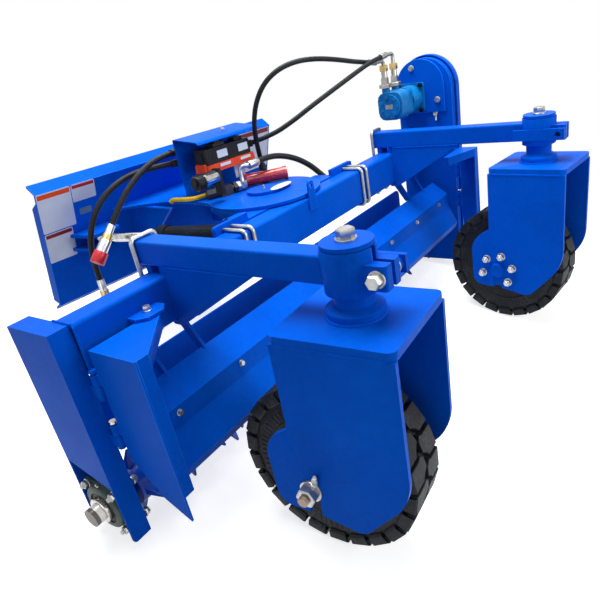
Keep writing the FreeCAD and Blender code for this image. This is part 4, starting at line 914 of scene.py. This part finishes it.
def banded(name, base, bands, rough=0.34):
    """Plated fittings with some lengths in another metal, rubber or plastic.
    Each band is (mask, colour, metallic), its mask worked out from the place on the piece."""
    made, tree = new_material(name)
    place = tree.node("TexCoord", {}, {}, out="Object")
    cloud = noise(tree, 70, 4).ramp(0.35, 0.65)
    colour = cloud.between(base, toned(base, 0.7))
    metal = 1.0
    for mask_of, shade, metallic in bands:
        mask = mask_of(tree, place)
        colour = mask.between(colour, shade)
        metal = mask * (metallic - 1.0) + metal
    haze = noise(tree, 260, 3) * 0.2 + (rough - 0.1)
    return principled(made, tree, {"Base Color": colour, "Roughness": haze, "Metallic": metal})


def slice_along(start, way, low, high):
    """1 between two distances from a point along a line on the machine, in metres."""
    way = (STANCE.to_3x3() @ Vector(way)).normalized()
    shift = way.dot(STANCE @ Vector(start))

    def mask(tree, place):
        level = tree.node("VectorMath", {"operation": "DOT_PRODUCT"}, {0: place, 1: way}, out="Value")
        return (level > low + shift) * (level < high + shift)
    return mask


dress(["swing_valve"], banded("valve_metal", (0.55, 0.57, 0.60, 1), [
    (slice_along((0, 0, 0), (1, 0, 0), -0.125, -0.012), (0.030, 0.030, 0.034, 1), 0.2)]), 0.0008)
dress(["hose_ports"], box_plastic, 0.001)


def paper_tube():
    made, tree = new_material("red_paper_tube")
    streaks = noise(tree, 60, 4, (1, 1, 5)).ramp(0.5, 0.75)
    colour = streaks.between((0.50, 0.008, 0.016, 1), (0.60, 0.14, 0.16, 1))
    return principled(made, tree, {
        "Base Color": colour, "Roughness": noise(tree, 40, 3) * 0.1 + 0.08, "Coat Weight": 0.8,
        "Coat Roughness": 0.05, "Specular IOR Level": 0.5})


dress(["document_tube"], paper_tube(), 0.0015)

# -------------------- couplers
# Flat-face quick couplers on the two supply hoses: crimped sleeve, brass nut and steel barrel. The
# upper one wears a red dust cap.
for name, nut_start, nut_end in (("upper", 0.034, 0.054), ("lower", 0.040, 0.062)):
    route = HOSE_ROUTES["supply_hose_" + name]
    end = Vector(route[-1])
    way = end - Vector(route[-2])
    bands = [(slice_along(end, way, nut_start, nut_end), (0.60, 0.42, 0.16, 1), 1.0)]
    if name == "upper":
        bands.append((slice_along(end, way, 0.098, 0.2), (0.52, 0.012, 0.025, 1), 0.0))
    dress(["coupler_" + name], banded("coupler_metal_" + name, (0.68, 0.70, 0.72, 1), bands, 0.3), 0.001)

# -------------------- swing cylinder
# A double-acting cylinder swings the head. Its barrel is painted black, its rod is hard chromed, and
# it turns on plain pins between the swivel base and the hitch plate.
cylinder_black = enamel("cylinder_black", (0.010, 0.011, 0.013, 1), (0.016, 0.017, 0.020, 1), 0.35)
dress(["cylinder_barrel"], cylinder_black, edge=cylinder_black)
dress(["cylinder_rod"], chrome, 0.0006)
dress(["cylinder_pin"], zinc, 0.0006)

# -------------------- casters
# Each fork is a thick plate with two flame-cut side plates welded under it. The spindle's cap is held
# by a large bolt. The axle's nut and grease fitting show outside.
dress(["caster_fork_left", "caster_fork_right", "spindle_left", "spindle_right"], frame_blue, edge=edge_wear_and_highlight_blue)
dress(["axle_left"], zinc, 0.0008)
AXLE_Y, AXLE_Z = 108, 173.9
COLLAR_LOW, COLLAR_HEIGHT, CAP_GAP, CAP_THICK = 632, 92, 1, 10
SINK_AND_YAW = {"left": (0.0, 3), "right": (6.14, -7)}
worn_bronze = plated("worn_bronze", (0.30, 0.22, 0.17, 1), 0.4, streak=(0.40, 0.34, 0.28, 1))
hub_black = moulded("hub_black", (0.010, 0.010, 0.012, 1), 0.5)


def caster_frame(name):
    """The caster's own frame, in millimetres: +Z up its spindle, +X across the fork, as it stands."""
    sink, yaw = SINK_AND_YAW[name]
    return MACHINE @ shift(*COLLARS[name], -sink) @ spin(yaw, "Z")


for name in COLLARS:
    place = caster_frame(name)
    cap_top = COLLAR_LOW + COLLAR_HEIGHT + CAP_GAP + CAP_THICK + SINK_AND_YAW[name][0]
    parts = fastener((0, 0, cap_top), (0, 0, 1), 34, head=0.55)
    nut_sides = (-1, 1) if name == "left" else (1,)
    for side in nut_sides:
        parts += fastener((side * 134, AXLE_Y, AXLE_Z), (side, 0, 0), 44, head=0.58)
    zerk = turned([(0, -8), (9, -8), (9, 8), (6, 9), (6, 17), (8, 19), (8, 27), (4.5, 29), (4.5, 34), (6, 36),
                   (4, 41), (0, 41)], 6)
    parts.append(moved(zerk, along((nut_sides[0] * 140, 93, AXLE_Z + 24), (nut_sides[0] * 0.25, -0.35, 1))))
    assembled("caster_nuts_" + name, parts, [zinc], "caster_" + name, place)
    ends = [moved(thread(12.8, 16), along((side * 161, AXLE_Y, AXLE_Z), (side, 0, 0))) for side in nut_sides]
    assembled("axle_ends_" + name, ends, [worn_bronze], "caster_" + name, place)
    fork_welds = []
    for side in (-1, 1):
        for x, half, z, size in ((121, 122, 555, 4), (133.6, 124, 555.5, 3.4)):
            fork_welds.append(bead([(side * x, -half, z), (side * x, half, z)], size))
    ring = [(*polar(64, angle), 577) for angle in turns(24)]
    fork_welds.append(bead(ring + ring[:1], 3.6))
    assembled("fork_welds_" + name, fork_welds, [frame_blue], "caster_" + name, place)

# -------------------- wheels
# Solid moulded tyres on dished steel wheels. Two staggered rows of blocks stand either side of a
# centre groove, step down over the shoulder, and leave a band of fine ribs on each side wall.
tyre_black = moulded("tyre_black", (0.0075, 0.0085, 0.0105, 1), 0.56, dust=0.35)
dress(["rim_left", "rim_right"], moulded("rim_black", (0.008, 0.008, 0.009, 1), 0.4))
TYRE_RADIUS = 231.6
LUGS = 22


def on_tread(turn, radius, across):
    return Vector((*polar(radius, turn), across))


def lug(turn, hand):
    """One tread block: a narrow tongue by the centre groove, a step, and a wide foot on the shoulder."""
    pitch = 2 * math.pi / LUGS
    outline = [(0.12, 3), (0.54, 1), (0.76, 20), (0.93, 26), (0.93, 69), (0.06, 69), (0.06, 27), (-0.02, 16)]
    rows = []
    for radius, spread, drop in ((212, 1.06, 0), (TYRE_RADIUS - 1.2, 0.96, 0), (TYRE_RADIUS, 0.90, 1)):
        row = []
        for share, across in outline:
            middle = 0.47 + (share - 0.47) * spread
            level = across - drop if across > 60 else across + 0.6 * drop
            row.append(on_tread(turn + middle * pitch, radius, hand * level))
        rows.append(row)
    count = len(outline)
    vertices = [corner for row in rows for corner in row]
    faces = [tuple(range(2 * count, 3 * count))] + ring_faces(3, count)
    start = len(vertices)
    foot = [(230.6, 66), (229, 71), (224, 73.4), (204, 73.4), (198, 69), (198, 60), (222, 60)]
    side = len(foot)
    for share in (0.12, 0.87):
        vertices += [on_tread(turn + share * pitch, radius, hand * across) for radius, across in foot]
    faces += ring_faces(2, side, start)
    faces.append(tuple(start + step for step in reversed(range(side))))
    faces.append(tuple(start + side + step for step in range(side)))
    return vertices, faces


def tyre(name, place):
    wall = [(104, 69), (114, 71), (118, 71.5), (120, 69), (140, 70), (146, 71), (149, 73), (153, 73),
            (156, 70.6), (184, 70), (190, 68), (200, 66), (210, 62), (214, 54), (214.5, 4), (209, 3),
            (209, 0)]
    profile = wall + [(radius, -across) for radius, across in reversed(wall[:-1])] + [(104, 69)]
    parts = [turned(profile, 96)]
    for angle in turns(LUGS):
        parts += [lug(angle, 1), lug(angle + math.pi / LUGS, -1)]
    for angle in turns(72):
        for hand in (-1, 1):
            rib = extruded([(159, -2.6), (182, -3.0), (182, 3.0), (159, 2.6)], 69.4, 71.6, 0.8)
            flip = spin(180, "X") if hand < 0 else Matrix()
            parts.append(moved(rib, Matrix.Rotation(angle, 4, "Z") @ flip))
    made = assembled("tread_" + name, parts, [tyre_black], "wheel_" + name, place, smooth=28)
    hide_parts("tyre_" + name)


for name in COLLARS:
    axis = shift(0, AXLE_Y, AXLE_Z) @ spin(90, "Y")
    wheel = caster_frame(name) @ axis
    tyre(name, wheel)
    cup = turned([(44, 14), (92, 14), (93, 17), (86, 20), (50, 20), (44, 24)], 48)
    hub = [moved(cup, spin(180, "X")), cup]
    assembled("hub_plates_" + name, hub, [hub_black], "wheel_" + name, wheel)
    studs = []
    for angle in turns(5, 0.3):
        for hand in (-1, 1):
            studs += fastener((*polar(68, angle), hand * 20), (0, 0, hand), 19, washer=False)
    assembled("wheel_nuts_" + name, studs, [zinc], "wheel_" + name, wheel)

# -------------------- right axle
# On the right caster the axle stops in a pressed blank cap on the fork's left plate, with five screws
# round it. A painted filler closes the fork's slot below the cap.
right = caster_frame("right")
axle_parts = [turned([(0, -134), (12.5, -134), (12.5, 158), (0, 158)])]
for side in (-1, 1):
    axle_parts.append(turned([(12.5, 77 * side), (21.5, 77 * side), (21.5, 122 * side), (12.5, 122 * side)]))
shaft = assembled("right_axle", axle_parts, [zinc], "caster_right",
                  right @ along((0, AXLE_Y, AXLE_Z), (1, 0, 0)))
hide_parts("axle_right")
cap = turned([(0, 7), (3, 8.4), (6, 10), (26, 10), (29, 7), (29, 0)], 40)
slot_fill = slab(-132, 92, -124, 124, AXLE_Z - 66, AXLE_Z)
assembled("right_axle_cap", [moved(cap, along((-134, AXLE_Y, AXLE_Z), (-1, 0, 0))), slot_fill],
          [frame_blue], "caster_right", right)
flange_bolts = []
for angle in turns(6, math.radians(-14))[:5]:
    spot = (-134, AXLE_Y + 62 * math.cos(angle), AXLE_Z + 62 * math.sin(angle))
    flange_bolts += fastener(spot, (-1, 0, 0), 24, stud=6)
assembled("right_flange_bolts", flange_bolts, [zinc], "caster_right", right)
